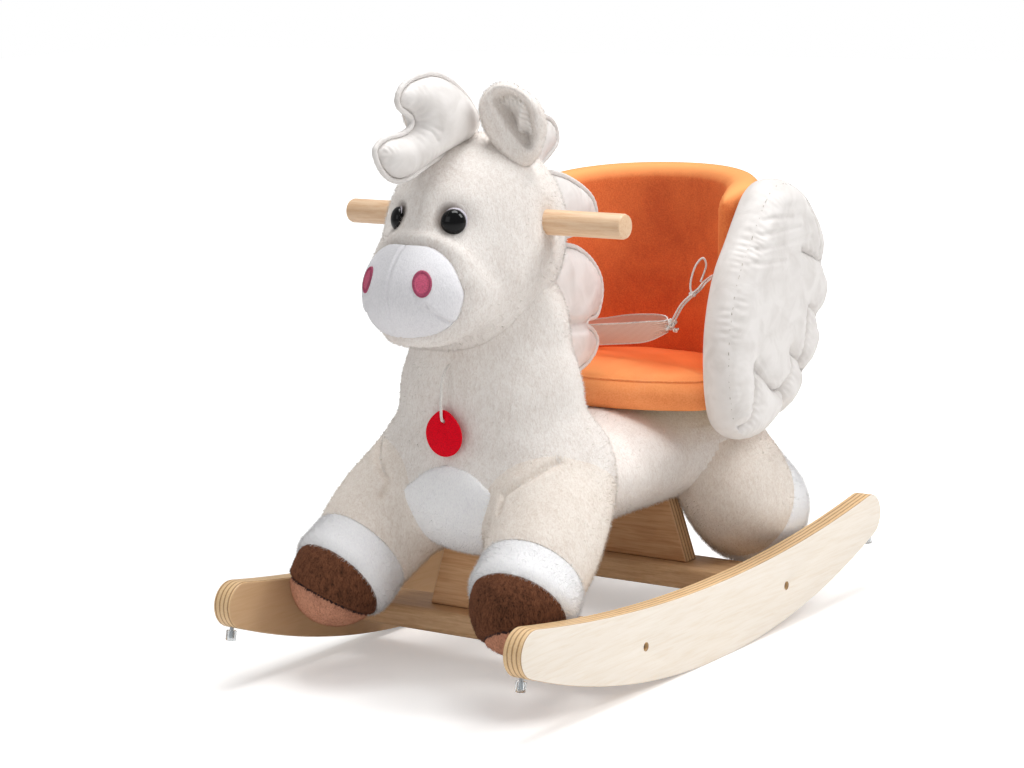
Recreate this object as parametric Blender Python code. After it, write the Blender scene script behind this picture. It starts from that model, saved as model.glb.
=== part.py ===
"""Rocking winged horse: plush animal with a child seat on a birch plywood rocking base.

Metres, +Z up. The nose points along -Y, the animal's left side is +X, and the floor is Z = 0
under the middle of the rockers.
"""
import math

import bmesh
import bpy
import numpy as np
from mathutils import Vector

# Clearance between pieces that touch
GAP = 0.0003

# Rocking base
BOARD = 0.018
ROCKER_SPACING = 0.300
ROCKER_LENGTH = 0.593
ROCKER_DEPTH = 0.068
SWEEP_RADIUS = 0.786
TOP_RADIUS = 1.600
FOOT_FLAT = 0.044
EDGE_ROUND = 0.0018
SWEEP_STEPS = 13

RAIL_OFFSET = 0.117
RAIL_DEPTH = 0.054
RAIL_HEIGHT = 0.021
RAIL_TOP = 0.0495
RAIL_ROUND = 0.006

BOLT_HOLE = 0.0072
BOLT_SHANK = 0.0046
BOLT_HEAD_DEPTH = 0.005
BOLT_SINK = 0.0035
BOLT_LENGTH = 0.062
BOLT_SOCKET = 0.0034

STOP_INSET = 0.0125
STOP_OFFSET = ROCKER_LENGTH / 2 - STOP_INSET
STOP_DIAMETER = 0.0088
STOP_DROP = 0.009
STOP_LEAN = 0.20
STOP_PIN = 0.0036
STOP_PIN_DEPTH = 0.015

# Inner frame
UPRIGHT_FOOT = 0.118
UPRIGHT_SLOPE = 0.32
CORE_TOP = 0.172
CORE_THICKNESS = 0.015
CORE_WIDTH = 0.084
CORE_OVERHANG = 0.033
CORE_LENGTH = 2 * (RAIL_OFFSET + CORE_OVERHANG)
CORE_SHIFT = 0.006
HALVING = 0.028
POST_DEPTH = 0.060
POST_SHIFT = 0.012
POST_ABOVE_BAR = 0.024

UPRIGHT_SCREW_SPACING = 0.056
UPRIGHT_SCREW = 0.0050
UPRIGHT_SCREW_HEAD = 0.010
UPRIGHT_SCREW_LENGTH = 0.062

# Handle bar
BAR_LENGTH = 0.285
BAR_DIAMETER = 0.0212
BAR_CHAMFER = 0.0026
BAR_Y = -0.111
BAR_Z = 0.389
BAR_SCREW = 0.004
BAR_SCREW_HEAD = 0.008

# Seat
SEAT_FRONT = 0.046
SEAT_BACK = 0.194
SEAT_UNDER = 0.1995
SEAT_BOARD = 0.012
SEAT_BOARD_INSET = 0.012
SEAT_PAD_TOP = 0.2325
SEAT_CORNER_Y = 0.078
SEAT_BOLT = 0.008
SEAT_BOLT_HEAD = 0.018
SEAT_BOLT_HEAD_DEPTH = 0.004
SEAT_BOLT_Y = (0.062, 0.164)

BACK_HALF_WIDTH = 0.1185
BACK_REAR = 0.228
BACK_FRONT = 0.102
BACK_BOW = 0.10428
BACK_BOW_OFFSET = 0.88
SEAT_TUCK = 0.0185
SEAT_HALF_WIDTH = BACK_HALF_WIDTH - SEAT_TUCK
BACK_TOP = 0.406
BACK_ARM_DROP = 0.014
BACK_THICKNESS = 0.031
SHELL_THICKNESS = 0.006
SHELL_COVER = 0.012
SHELL_TOP_COVER = 0.016
SHELL_GROOVE = 0.004
SHELL_SHORT = 0.011

# Plush parts
MUZZLE_SEAM_Y = -0.208
MUZZLE_SEAM_Z = 0.340
MUZZLE_SEAM_TILT = 0.06
EYE_DIAMETER = 0.0215
EYE_RISE = 0.0085
EYE_SIDE = 0.0315
EYE_HEIGHT = 0.3950
EYE_TURN = 0.42
NOSTRIL_WIDTH = 0.0170
NOSTRIL_HEIGHT = 0.0225
NOSTRIL_SIDE = 0.0270
NOSTRIL_Z = 0.351
NOSTRIL_THICK = 0.0012

CUFF_LENGTH = 0.034
HOOF_LENGTH = 0.044
HOOF_INSET = 0.003
REAR_CUFF_LENGTH = 0.046
REAR_HOOF_LENGTH = 0.026

EYE_POCKET = 0.004
EAR_SIDE = 0.046
EAR_Y = -0.132
EAR_Z = 0.470
EAR_HALF_WIDTH = 0.026
EAR_HALF_HEIGHT = 0.038
EAR_THICKNESS = 0.020
EAR_TURN = 0.45
EAR_DISH = 1.5
FORELOCK_HALF = 0.021
MANE_HALF = 0.0135
CORD_EDGE_HALF = 0.0030
TAIL_HALF = 0.014
CHEST_PATCH_THICK = 0.0016

WING_THICKNESS = 0.0365
WING_CROWN = 0.006
WING_CHANNEL = 0.8
WING_REAR_SHARE = 0.62

# Belt and tag
BELT_WIDTH = 0.020
BELT_THICKNESS = 0.0013
TIE_DIAMETER = 0.0034
TAG_CORD_DIAMETER = 0.0024
TAG_THICKNESS = 0.0020
TAG_DIAMETER = 0.037
TAG_POINT = 0.003
TAG_HOLE = 0.0042
TAG_HOLE_Z = 0.226
TAG_EDGE = 0.0095


def clear_scene():
    for item in list(bpy.data.objects):
        bpy.data.objects.remove(item, do_unlink=True)


def hex_rgb(code):
    """Linear colour of an sRGB hex code."""
    values = [int(code[i:i + 2], 16) / 255 for i in (0, 2, 4)]
    return [v / 12.92 if v <= 0.04045 else ((v + 0.055) / 1.055) ** 2.4 for v in values]


def material(name, code, roughness, metallic=0.0):
    found = bpy.data.materials.get(name)
    if found:
        return found
    new = bpy.data.materials.new(name)
    new.use_nodes = True
    shader = new.node_tree.nodes["Principled BSDF"]
    shader.inputs["Base Color"].default_value = (*hex_rgb(code), 1.0)
    shader.inputs["Roughness"].default_value = roughness
    shader.inputs["Metallic"].default_value = metallic
    new.diffuse_color = (*hex_rgb(code), 1.0)
    return new


def birch():
    return material("birch_plywood", "EFDFC6", 0.55)


def beech():
    return material("beech", "E3BC93", 0.45)


def inner_ply():
    return material("inner_plywood", "D9C3A0", 0.65)


def steel():
    return material("zinc_steel", "B9BCC0", 0.35, 1.0)


def cream_plush():
    return material("cream_plush", "E4DCD4", 0.95)


def white_plush():
    return material("white_plush", "F1F1F2", 0.95)


def white_satin():
    return material("white_satin", "EEEBE6", 0.60)


def brown_plush():
    return material("brown_plush", "5B3A2C", 0.95)


def orange_velvet():
    return material("orange_velvet", "EE7330", 0.85)


def nostril_thread():
    return material("pink_thread", "D85478", 0.60)


def eye_plastic():
    return material("eye_plastic", "0B0B0C", 0.08)


def belt_elastic():
    return material("belt_elastic", "E9D3CC", 0.80)


def cord_cotton():
    return material("white_cord", "EEEAE4", 0.85)


def tag_felt():
    return material("red_tag", "C41226", 0.70)


def stop_plastic():
    return material("clear_stop", "D5D8DA", 0.20)


def finish(name, mesh_or_bm, look, smooth_degrees=None):
    """Object from a bmesh, recalculated outwards, smooth under the given crease angle."""
    bmesh.ops.recalc_face_normals(mesh_or_bm, faces=mesh_or_bm.faces[:])
    mesh = bpy.data.meshes.new(name)
    mesh_or_bm.to_mesh(mesh)
    mesh_or_bm.free()
    item = bpy.data.objects.new(name, mesh)
    bpy.context.scene.collection.objects.link(item)
    mesh.materials.append(look)
    if smooth_degrees is not None:
        mesh.shade_smooth()
        mesh.set_sharp_from_angle(angle=math.radians(smooth_degrees))
    return item


def bevel(item, width, segments=2, angle=40):
    step = item.modifiers.new("edge", "BEVEL")
    step.width = width
    step.segments = segments
    step.limit_method = "ANGLE"
    step.angle_limit = math.radians(angle)
    return item


def as_cutter(item):
    item.hide_render = True
    item.display_type = "WIRE"
    return item


def cut(item, *cutters, solver="EXACT"):
    for cutter in cutters:
        step = item.modifiers.new("cut_" + cutter.name, "BOOLEAN")
        step.operation = "DIFFERENCE"
        step.solver = solver
        step.object = as_cutter(cutter)
    return item


def cut_form(item, *names):
    """Cut a stuffed form by larger ones; the exact solver loses some of these shallow meetings."""
    return cut(item, *[bpy.data.objects[name] for name in names], solver="MANIFOLD")


def prism_x(name, outline, low_x, high_x, look):
    """Outline of (y, z) points, extruded along X."""
    bm = bmesh.new()
    face = bm.faces.new([bm.verts.new((low_x, y, z)) for y, z in outline])
    side = bmesh.ops.extrude_face_region(bm, geom=[face])
    moved = [v for v in side["geom"] if isinstance(v, bmesh.types.BMVert)]
    bmesh.ops.translate(bm, verts=moved, vec=(high_x - low_x, 0, 0))
    return finish(name, bm, look)


def prism_y(name, outline, low_y, high_y, look):
    """Outline of (x, z) points, extruded along Y."""
    bm = bmesh.new()
    face = bm.faces.new([bm.verts.new((x, low_y, z)) for x, z in outline])
    side = bmesh.ops.extrude_face_region(bm, geom=[face])
    moved = [v for v in side["geom"] if isinstance(v, bmesh.types.BMVert)]
    bmesh.ops.translate(bm, verts=moved, vec=(0, high_y - low_y, 0))
    return finish(name, bm, look)


def prism_z(name, outline, low_z, high_z, look):
    """Outline of (x, y) points, extruded along Z."""
    bm = bmesh.new()
    face = bm.faces.new([bm.verts.new((x, y, low_z)) for x, y in outline])
    side = bmesh.ops.extrude_face_region(bm, geom=[face])
    moved = [v for v in side["geom"] if isinstance(v, bmesh.types.BMVert)]
    bmesh.ops.translate(bm, verts=moved, vec=(0, 0, high_z - low_z))
    return finish(name, bm, look)


def block(name, low, high, look, grow=0.0):
    bm = bmesh.new()
    bmesh.ops.create_cube(bm, size=1.0)
    span = [h - l + 2 * grow for l, h in zip(low, high)]
    middle = [(h + l) / 2 for l, h in zip(low, high)]
    bmesh.ops.scale(bm, verts=bm.verts, vec=span)
    bmesh.ops.translate(bm, verts=bm.verts, vec=middle)
    return finish(name, bm, look)


def turned(name, profile, start, direction, look, sides=16):
    """Solid of revolution: profile of (distance, radius) from start along direction."""
    direction = Vector(direction).normalized()
    turn = direction.to_track_quat("Z", "Y")
    bm = bmesh.new()
    rings = []
    for distance, radius in profile:
        if radius <= 0:
            rings.append([bm.verts.new(Vector(start) + direction * distance)])
            continue
        ring = []
        for k in range(sides):
            angle = 2 * math.pi * k / sides
            offset = turn @ Vector((radius * math.cos(angle), radius * math.sin(angle), 0))
            ring.append(bm.verts.new(Vector(start) + direction * distance + offset))
        rings.append(ring)
    join_rings(bm, rings)
    return finish(name, bm, look, 35)


def join_rings(bm, rings):
    """Skin rings of vertices in order; a ring of one vertex is a pole, other ends are filled."""
    for one, two in zip(rings, rings[1:]):
        count = max(len(one), len(two))
        for k in range(count):
            nxt = (k + 1) % count
            if len(one) == 1:
                bm.faces.new((one[0], two[nxt], two[k]))
            elif len(two) == 1:
                bm.faces.new((one[k], one[nxt], two[0]))
            else:
                bm.faces.new((one[k], one[nxt], two[nxt], two[k]))
    for ring in (rings[0], rings[-1]):
        if len(ring) > 2:
            bm.faces.new(ring)


def ellipsoid_distance(points, centre, radii):
    """Signed distance from points to an ellipsoid, near its surface."""
    local = (points - np.asarray(centre)) / np.asarray(radii)
    size = np.linalg.norm(local, axis=-1)
    slope = np.linalg.norm(local / np.asarray(radii), axis=-1)
    return size * (size - 1) / np.maximum(slope, 1e-9)


def blended_distance(points, lobes, blend):
    """Smooth union of ellipsoids, each a (centre, radii) pair."""
    distances = np.stack([ellipsoid_distance(points, c, r) for c, r in lobes])
    low = distances.min(axis=0)
    return low - blend * np.log(np.exp(-(distances - low) / blend).sum(axis=0))


def soft_form(name, centre, lobes, look, axis=(0, 1, 0), blend=0.008, grow=0.0, reach=0.5,
              rings=12, segments=20):
    """Stuffed form: the smooth union of lobes, skinned on rays from a centre inside them."""
    turn = Vector(axis).normalized().to_track_quat("Z", "Y")
    directions = [turn @ Vector((0, 0, 1))]
    for i in range(1, rings):
        polar = math.pi * i / rings
        for k in range(segments):
            around = 2 * math.pi * k / segments
            directions.append(turn @ Vector((math.sin(polar) * math.cos(around),
                                             math.sin(polar) * math.sin(around),
                                             math.cos(polar))))
    directions.append(turn @ Vector((0, 0, -1)))
    rays = np.array([d[:] for d in directions])
    low = np.zeros(len(rays))
    high = np.full(len(rays), reach)
    for _ in range(34):
        middle = (low + high) / 2
        outside = blended_distance(np.asarray(centre) + rays * middle[:, None], lobes, blend) > grow
        high = np.where(outside, middle, high)
        low = np.where(outside, low, middle)
    skin = np.asarray(centre) + rays * low[:, None]
    bm = bmesh.new()
    verts = [bm.verts.new(p) for p in skin]
    loops = [[verts[0]]]
    for i in range(rings - 1):
        loops.append(verts[1 + i * segments:1 + (i + 1) * segments])
    loops.append([verts[-1]])
    join_rings(bm, loops)
    bmesh.ops.triangulate(bm, faces=bm.faces[:], quad_method="FIXED")
    return finish(name, bm, look, 60)


def keep_side(item, point, normal, shift=0.0):
    """Cut a form flat, keeping the side that the normal points away from."""
    normal = Vector(normal).normalized()
    bm = bmesh.new()
    bm.from_mesh(item.data)
    place = Vector(point) - normal * shift
    geometry = bm.verts[:] + bm.edges[:] + bm.faces[:]
    made = bmesh.ops.bisect_plane(bm, geom=geometry, plane_co=place, plane_no=normal,
                                  clear_outer=True, dist=1e-7)
    rim = [e for e in made["geom_cut"] if isinstance(e, bmesh.types.BMEdge)]
    if rim:
        bmesh.ops.contextual_create(bm, geom=rim)
    bmesh.ops.recalc_face_normals(bm, faces=bm.faces[:])
    bm.to_mesh(item.data)
    bm.free()
    return item


def smooth_curve(points, count, closed=True):
    """Points on a Catmull-Rom curve through the given ones."""
    given = [Vector(p) for p in points]
    total = len(given)
    spans = total if closed else total - 1
    result = []
    for i in range(count):
        position = i * spans / (count if closed else count - 1)
        k = min(int(position), spans - 1)
        t = position - k
        if closed:
            p0, p1, p2, p3 = (given[(k + j) % total] for j in (-1, 0, 1, 2))
        else:
            p0, p1, p2, p3 = (given[min(max(k + j, 0), total - 1)] for j in (-1, 0, 1, 2))
        result.append(0.5 * ((2 * p1) + (p2 - p0) * t + (2 * p0 - 5 * p1 + 4 * p2 - p3) * t * t
                             + (3 * p1 - p0 - 3 * p2 + p3) * t ** 3))
    return result


def pillow(name, outline, centre, place, half_front, half_back, edge, look, rings=6, power=2.2,
           groove=None):
    """Stuffed pad: a closed outline in its own plane, swelling to half_front and half_back.

    place turns a (u, v, thickness) point into a world one. groove(u, v) gives how much of the
    front swelling stays at that point.
    """
    bm = bmesh.new()
    centre = Vector(centre)

    def ring_at(scale, side):
        swell = (1 - scale ** power) ** (1 / power)
        half = half_front if side > 0 else half_back
        verts = []
        for p in outline:
            spot = centre + (Vector(p) - centre) * scale
            share = groove(spot.x, spot.y, scale) if groove and side > 0 else 1.0
            height = side * (edge + (half - edge) * swell * share)
            verts.append(bm.verts.new(place((spot.x, spot.y, height))))
        return verts

    scales = [math.sin(math.pi / 2 * k / rings) for k in range(1, rings + 1)]
    loops = [[bm.verts.new(place((centre.x, centre.y, -half_back)))]]
    for scale in scales:
        loops.append(ring_at(scale, -1))
    for scale in reversed(scales):
        loops.append(ring_at(scale, 1))
    top = groove(centre.x, centre.y, 0) if groove else 1.0
    loops.append([bm.verts.new(place((centre.x, centre.y, edge + (half_front - edge) * top)))])
    join_rings(bm, loops)
    return finish(name, bm, look, 60)


# Rocking base

def end_circle():
    """Radius and centre of the round end that meets the sweep and the top edge."""
    top_centre = ROCKER_DEPTH + TOP_RADIUS
    low, high = 0.004, ROCKER_DEPTH / 2
    for _ in range(50):
        radius = (low + high) / 2
        inner = SWEEP_RADIUS - radius
        outer = TOP_RADIUS + radius
        height = (outer ** 2 - inner ** 2 - top_centre ** 2 + SWEEP_RADIUS ** 2)
        height /= 2 * (SWEEP_RADIUS - top_centre)
        reach = math.sqrt(max(inner ** 2 - (height - SWEEP_RADIUS) ** 2, 0))
        if reach + radius > ROCKER_LENGTH / 2:
            low = radius
        else:
            high = radius
    return radius, reach, height


def rocker_outline():
    """Closed outline of (y, z): flat foot, swept underside, round ends, hollow top edge."""
    radius, end_y, end_z = end_circle()
    top_centre = ROCKER_DEPTH + TOP_RADIUS
    under_end = math.atan2(end_y, SWEEP_RADIUS - end_z)
    top_end = math.atan2(end_y, top_centre - end_z)
    start = math.asin(FOOT_FLAT / 2 / SWEEP_RADIUS)
    lift = SWEEP_RADIUS * (1 - math.cos(start))
    right = []
    for k in range(SWEEP_STEPS + 1):
        angle = start + (under_end - start) * k / SWEEP_STEPS
        right.append((SWEEP_RADIUS * math.sin(angle), SWEEP_RADIUS * (1 - math.cos(angle)) - lift))
    turn_from = under_end - math.pi / 2
    turn_to = math.pi / 2 + top_end
    steps = 7
    for k in range(1, steps):
        angle = turn_from + (turn_to - turn_from) * k / steps
        right.append((end_y + radius * math.cos(angle), end_z + radius * math.sin(angle) - lift))
    top = []
    for k in range(SWEEP_STEPS + 1):
        angle = top_end * (1 - k / SWEEP_STEPS)
        top.append((TOP_RADIUS * math.sin(angle), top_centre - TOP_RADIUS * math.cos(angle) - lift))
    half = right + top
    mirrored = [(-y, z) for y, z in reversed(half) if y > 1e-9]
    return half + mirrored


def sweep_height(y):
    """Height of the rocker's underside over the floor."""
    start = math.asin(FOOT_FLAT / 2 / SWEEP_RADIUS)
    return SWEEP_RADIUS * (math.cos(start) - math.sqrt(1 - (y / SWEEP_RADIUS) ** 2))


def bolt_height():
    return RAIL_TOP - RAIL_HEIGHT / 2


def rail_bolt(name, side, y, grow=0.0):
    """Socket screw through a rocker into the end of a rail."""
    outer = ROCKER_SPACING / 2 + BOARD / 2
    head = BOLT_HOLE / 2 - GAP * 1.5 + grow
    shank = BOLT_SHANK / 2 + grow
    start = (side * (outer - BOLT_SINK), y, bolt_height())
    if grow:
        profile = [(-BOLT_SINK - 0.002, BOLT_HOLE / 2), (BOLT_HEAD_DEPTH + grow, BOLT_HOLE / 2),
                   (BOLT_HEAD_DEPTH + grow, shank), (BOLT_LENGTH + grow, shank)]
    else:
        profile = [(BOLT_HEAD_DEPTH * 0.6, 0), (BOLT_HEAD_DEPTH * 0.6, BOLT_SOCKET / 2),
                   (0, BOLT_SOCKET / 2), (0, head - 0.0004), (0.0004, head), (BOLT_HEAD_DEPTH, head),
                   (BOLT_HEAD_DEPTH, shank), (BOLT_LENGTH - 0.003, shank), (BOLT_LENGTH, 0.0008)]
    return turned(name, profile, start, (-side, 0, 0), steel(), 10)


def stop_pin(name, side, end, grow=0.0):
    """Clear plastic stop under a rocker end, with its pin up in the board."""
    y = end * STOP_OFFSET
    down = Vector((0, end * math.sin(STOP_LEAN), -math.cos(STOP_LEAN)))
    seat = Vector((side * ROCKER_SPACING / 2, y, sweep_height(y)))
    head = STOP_DIAMETER / 2
    pin = STOP_PIN / 2 + grow
    clear = 0.0022
    if grow:
        profile = [(-STOP_PIN_DEPTH - grow, pin), (STOP_DROP, pin)]
    else:
        profile = [(-STOP_PIN_DEPTH, 0), (-STOP_PIN_DEPTH, pin), (clear, pin), (clear, head),
                   (clear + STOP_DROP - 0.001, head), (clear + STOP_DROP, head - 0.001),
                   (clear + STOP_DROP, STOP_PIN / 2), (clear + STOP_DROP - 0.002, STOP_PIN / 2),
                   (clear + STOP_DROP - 0.002, 0)]
    return turned(name, profile, seat, down, stop_plastic(), 10)


def rocker(name, side):
    middle = side * ROCKER_SPACING / 2
    item = prism_x(name, rocker_outline(), middle - BOARD / 2, middle + BOARD / 2, birch())
    bevel(item, EDGE_ROUND, 1, 50)
    for end, label in ((-1, "front"), (1, "rear")):
        cut(item, rail_bolt(f"hole_{name}_{label}", side, end * RAIL_OFFSET, GAP))
        cut(item, stop_pin(f"stop_hole_{name}_{label}", side, end, GAP))
    return item


def upright_outline(grow=0.0, top=CORE_TOP):
    base = RAIL_TOP + GAP
    foot = UPRIGHT_FOOT / 2 + grow
    head = UPRIGHT_FOOT / 2 - UPRIGHT_SLOPE * (top - base) + grow
    low = base - (0.03 if grow else 0)
    foot += UPRIGHT_SLOPE * (base - low)
    return [(-foot, low), (foot, low), (head, top + grow), (-head, top + grow)]


def upright_screw(name, side, y, grow=0.0):
    shank = UPRIGHT_SCREW / 2 + grow
    head = UPRIGHT_SCREW_HEAD / 2 + grow
    start = (side * UPRIGHT_SCREW_SPACING / 2, y, RAIL_TOP - RAIL_HEIGHT + GAP)
    if grow:
        profile = [(-0.002, head), (0, head), (head - shank, shank),
                   (UPRIGHT_SCREW_LENGTH + grow, shank)]
    else:
        profile = [(0.0015, 0), (0.0015, 0.0016), (0, 0.0016), (0, head), (head - shank, shank),
                   (UPRIGHT_SCREW_LENGTH - 0.005, shank), (UPRIGHT_SCREW_LENGTH, 0.0006)]
    return turned(name, profile, start, (0, 0, 1), steel(), 8)


def base_frame():
    for side, label in ((1, "left"), (-1, "right")):
        rocker(f"rocker_{label}", side)
        for end, where in ((-1, "front"), (1, "rear")):
            rail_bolt(f"rail_bolt_{where}_{label}", side, end * RAIL_OFFSET)
            stop_pin(f"rocker_stop_{where}_{label}", side, end)
    half = ROCKER_SPACING / 2 - BOARD / 2 - GAP
    for end, where in ((-1, "front"), (1, "rear")):
        y = end * RAIL_OFFSET
        rail = block(f"{where}_rail", (-half, y - RAIL_DEPTH / 2, RAIL_TOP - RAIL_HEIGHT),
                     (half, y + RAIL_DEPTH / 2, RAIL_TOP), birch())
        bevel_along_x(rail, RAIL_ROUND)
        post = prism_y(f"{where}_upright", upright_outline(), y - BOARD / 2, y + BOARD / 2, birch())
        bevel(post, 0.0012, 1)
        for side, label in ((1, "left"), (-1, "right")):
            cut(rail, rail_bolt(f"rail_hole_{where}_{label}", side, y, GAP))
            hole = upright_screw(f"screw_hole_{where}_{label}", side, y, GAP)
            cut(rail, hole)
            cut(post, hole)
            upright_screw(f"upright_screw_{where}_{label}", side, y)
        if end < 0:
            cut(post, post_notch())


def bevel_along_x(item, width):
    """Round a rail's long edges only."""
    bm = bmesh.new()
    bm.from_mesh(item.data)
    long_edges = [e for e in bm.edges if abs(e.verts[0].co.x - e.verts[1].co.x) > 1e-4]
    bmesh.ops.bevel(bm, geom=long_edges, offset=width, segments=2, profile=0.5, affect="EDGES")
    bm.to_mesh(item.data)
    bm.free()
    return item


# Inner frame

def post_notch():
    """Space that the neck post takes out of the front upright's top."""
    half = BOARD / 2 + GAP
    y = -RAIL_OFFSET
    return block("post_notch", (-half, y - BOARD, CORE_TOP - HALVING),
                 (half, y + BOARD, CORE_TOP + 0.02), inner_ply())


def post_limits():
    middle = BAR_Y + POST_SHIFT
    low_z = CORE_TOP - 2 * HALVING
    return middle - POST_DEPTH / 2, middle + POST_DEPTH / 2, low_z, BAR_Z + POST_ABOVE_BAR


def neck_post(name="neck_post", grow=0.0):
    front, rear, low, high = post_limits()
    half = BOARD / 2
    return block(name, (-half, front, low), (half, rear, high), inner_ply(), grow)


def core_board(name="core_board", grow=0.0):
    low = (-CORE_WIDTH / 2, CORE_SHIFT - CORE_LENGTH / 2, CORE_TOP - CORE_THICKNESS)
    high = (CORE_WIDTH / 2, CORE_SHIFT + CORE_LENGTH / 2, CORE_TOP)
    return block(name, low, high, inner_ply(), grow)


def seat_bolt(name, y, grow=0.0):
    top = SEAT_UNDER + GAP + SEAT_BOARD
    head = SEAT_BOLT_HEAD / 2 + grow
    shank = SEAT_BOLT / 2 + grow
    length = top - (CORE_TOP - CORE_THICKNESS) + 0.004
    if grow:
        profile = [(-0.01, head), (SEAT_BOLT_HEAD_DEPTH + grow, head),
                   (SEAT_BOLT_HEAD_DEPTH + grow, shank), (length + grow, shank)]
    else:
        profile = [(0.0024, 0), (0.0024, 0.003), (0, 0.003), (0, head - 0.001), (0.001, head),
                   (SEAT_BOLT_HEAD_DEPTH, head), (SEAT_BOLT_HEAD_DEPTH, shank), (length, shank)]
    return turned(name, profile, (0, y, top - GAP), (0, 0, -1), steel(), 10)


def handle_bar(name="handle_bar", grow=0.0):
    half = BAR_LENGTH / 2
    radius = BAR_DIAMETER / 2 + grow
    profile = [(0, radius - BAR_CHAMFER), (BAR_CHAMFER, radius),
               (BAR_LENGTH - BAR_CHAMFER, radius), (BAR_LENGTH, radius - BAR_CHAMFER)]
    if grow:
        profile = [(0, radius), (BAR_LENGTH, radius)]
    return turned(name, profile, (-half, BAR_Y, BAR_Z), (1, 0, 0), beech(), 24)


def handle_screw(name="handle_screw", grow=0.0):
    """Wood screw down through the post's top into the bar."""
    top = post_limits()[3]
    head = BAR_SCREW_HEAD / 2 + grow
    shank = BAR_SCREW / 2 + grow
    length = POST_ABOVE_BAR + BAR_DIAMETER * 0.3
    if grow:
        profile = [(-0.002, head), (0, head), (head - shank, shank), (length + grow, shank)]
    else:
        profile = [(0, head), (head - shank, shank), (length - 0.004, shank), (length, 0.0006)]
    return turned(name, profile, (0, BAR_Y, top - GAP), (0, 0, -1), steel(), 8)


def inner_frame():
    board = core_board()
    for where, y in (("front", -RAIL_OFFSET), ("rear", RAIL_OFFSET)):
        cut(board, prism_y(f"mortise_{where}", upright_outline(GAP), y - BOARD / 2 - GAP,
                           y + BOARD / 2 + GAP, birch()))
    cut(board, neck_post("post_mortise", GAP))
    post = neck_post()
    front, rear, low, high = post_limits()
    half = BOARD / 2 + GAP
    cut(post, block("upright_notch", (-BOARD, -RAIL_OFFSET - half, low - 0.02),
                    (BOARD, -RAIL_OFFSET + half, CORE_TOP - HALVING), inner_ply()))
    cut(post, handle_bar("bar_bore", GAP), handle_screw("bar_screw_bore", GAP))
    bar = handle_bar()
    cut(bar, handle_screw("bar_screw_pilot", GAP))
    handle_screw()
    for where, y in zip(("front", "rear"), SEAT_BOLT_Y):
        cut(board, seat_bolt(f"core_bolt_hole_{where}", y, GAP))
        seat_bolt(f"seat_bolt_{where}", y)


# Seat

def seat_plan(inset=0.0, steps=36):
    """Outline of (x, y): bowed front, wide front corners, half round between the arms."""
    half = SEAT_HALF_WIDTH - inset
    inner = BACK_HALF_WIDTH - BACK_THICKNESS - GAP - inset
    front = SEAT_FRONT + inset
    back = SEAT_BACK - inset
    corner = SEAT_CORNER_Y + inset * 0.5
    arm = BACK_FRONT - 0.004 - inset * 0.3
    key = [(0, front), (half * 0.5, front + (corner - front) * 0.22),
           (half * 0.9, front + (corner - front) * 0.72), (half, corner + 0.006), (inner, arm + 0.010),
           (inner, arm + 0.030), (inner * 0.86, back - (back - arm) * 0.26),
           (inner * 0.50, back - (back - arm) * 0.06), (0, back)]
    mirrored = [(-x, y) for x, y in reversed(key[1:-1])]
    return [(p.x, p.y) for p in smooth_curve([(x, y, 0) for x, y in key + mirrored], steps)]


def seat_board(name="seat_board", grow=0.0):
    low = SEAT_UNDER + GAP
    outline = []
    for x, y in plan_horseshoe(SHELL_COVER - 0.004, steps=14):
        outline.append((x, y))
    front = SEAT_FRONT + SEAT_BOARD_INSET
    half = outline[0][0] if outline[0][0] > 0 else outline[-1][0]
    nose = [(-half, front + 0.030), (-half * 0.6, front + 0.010), (0, front),
            (half * 0.6, front + 0.010), (half, front + 0.030)]
    if outline[0][0] < 0:
        outline = list(reversed(outline))
    return prism_z(name, grown(outline + nose, grow), low - grow, low + SEAT_BOARD + grow, inner_ply())


def grown(outline, distance):
    """Outline moved outwards by a distance, for small distances."""
    if not distance:
        return outline
    count = len(outline)
    area = sum(outline[i][0] * outline[(i + 1) % count][1] - outline[(i + 1) % count][0] * outline[i][1]
               for i in range(count))
    sign = 1 if area > 0 else -1
    moved = []
    for i in range(count):
        before, here, after = (Vector(outline[(i + j) % count]) for j in (-1, 0, 1))
        one = (here - before).normalized()
        two = (after - here).normalized()
        normal = Vector((one.y + two.y, -one.x - two.x)) * sign
        normal.normalize()
        share = max(normal.dot(Vector((one.y, -one.x)) * sign), 0.4)
        moved.append(tuple(here + normal * distance / share))
    return moved


def plan_horseshoe(depth, steps=16, short=0.0):
    """Open curve of (x, y), left arm to right, at a depth inside the backrest's outer face."""
    half = BACK_HALF_WIDTH - depth
    rear = BACK_REAR - depth
    centre = rear - (BACK_BOW - depth * BACK_BOW_OFFSET)
    front = BACK_FRONT + depth * 0.3 + short
    points = [(half, front), (half, (front + centre) / 2)]
    for k in range(steps + 1):
        angle = math.pi * k / steps
        points.append((half * math.cos(angle), centre + (rear - centre) * math.sin(angle)))
    points += [(-half, (front + centre) / 2), (-half, front)]
    return points


def back_top(x, y, drop=0.0):
    """Height of the backrest's top edge: highest at the back, lower along the arms."""
    along = min(max((BACK_REAR - y) / (BACK_REAR - BACK_FRONT), 0), 1)
    return BACK_TOP - drop - BACK_ARM_DROP * along ** 1.5


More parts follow.
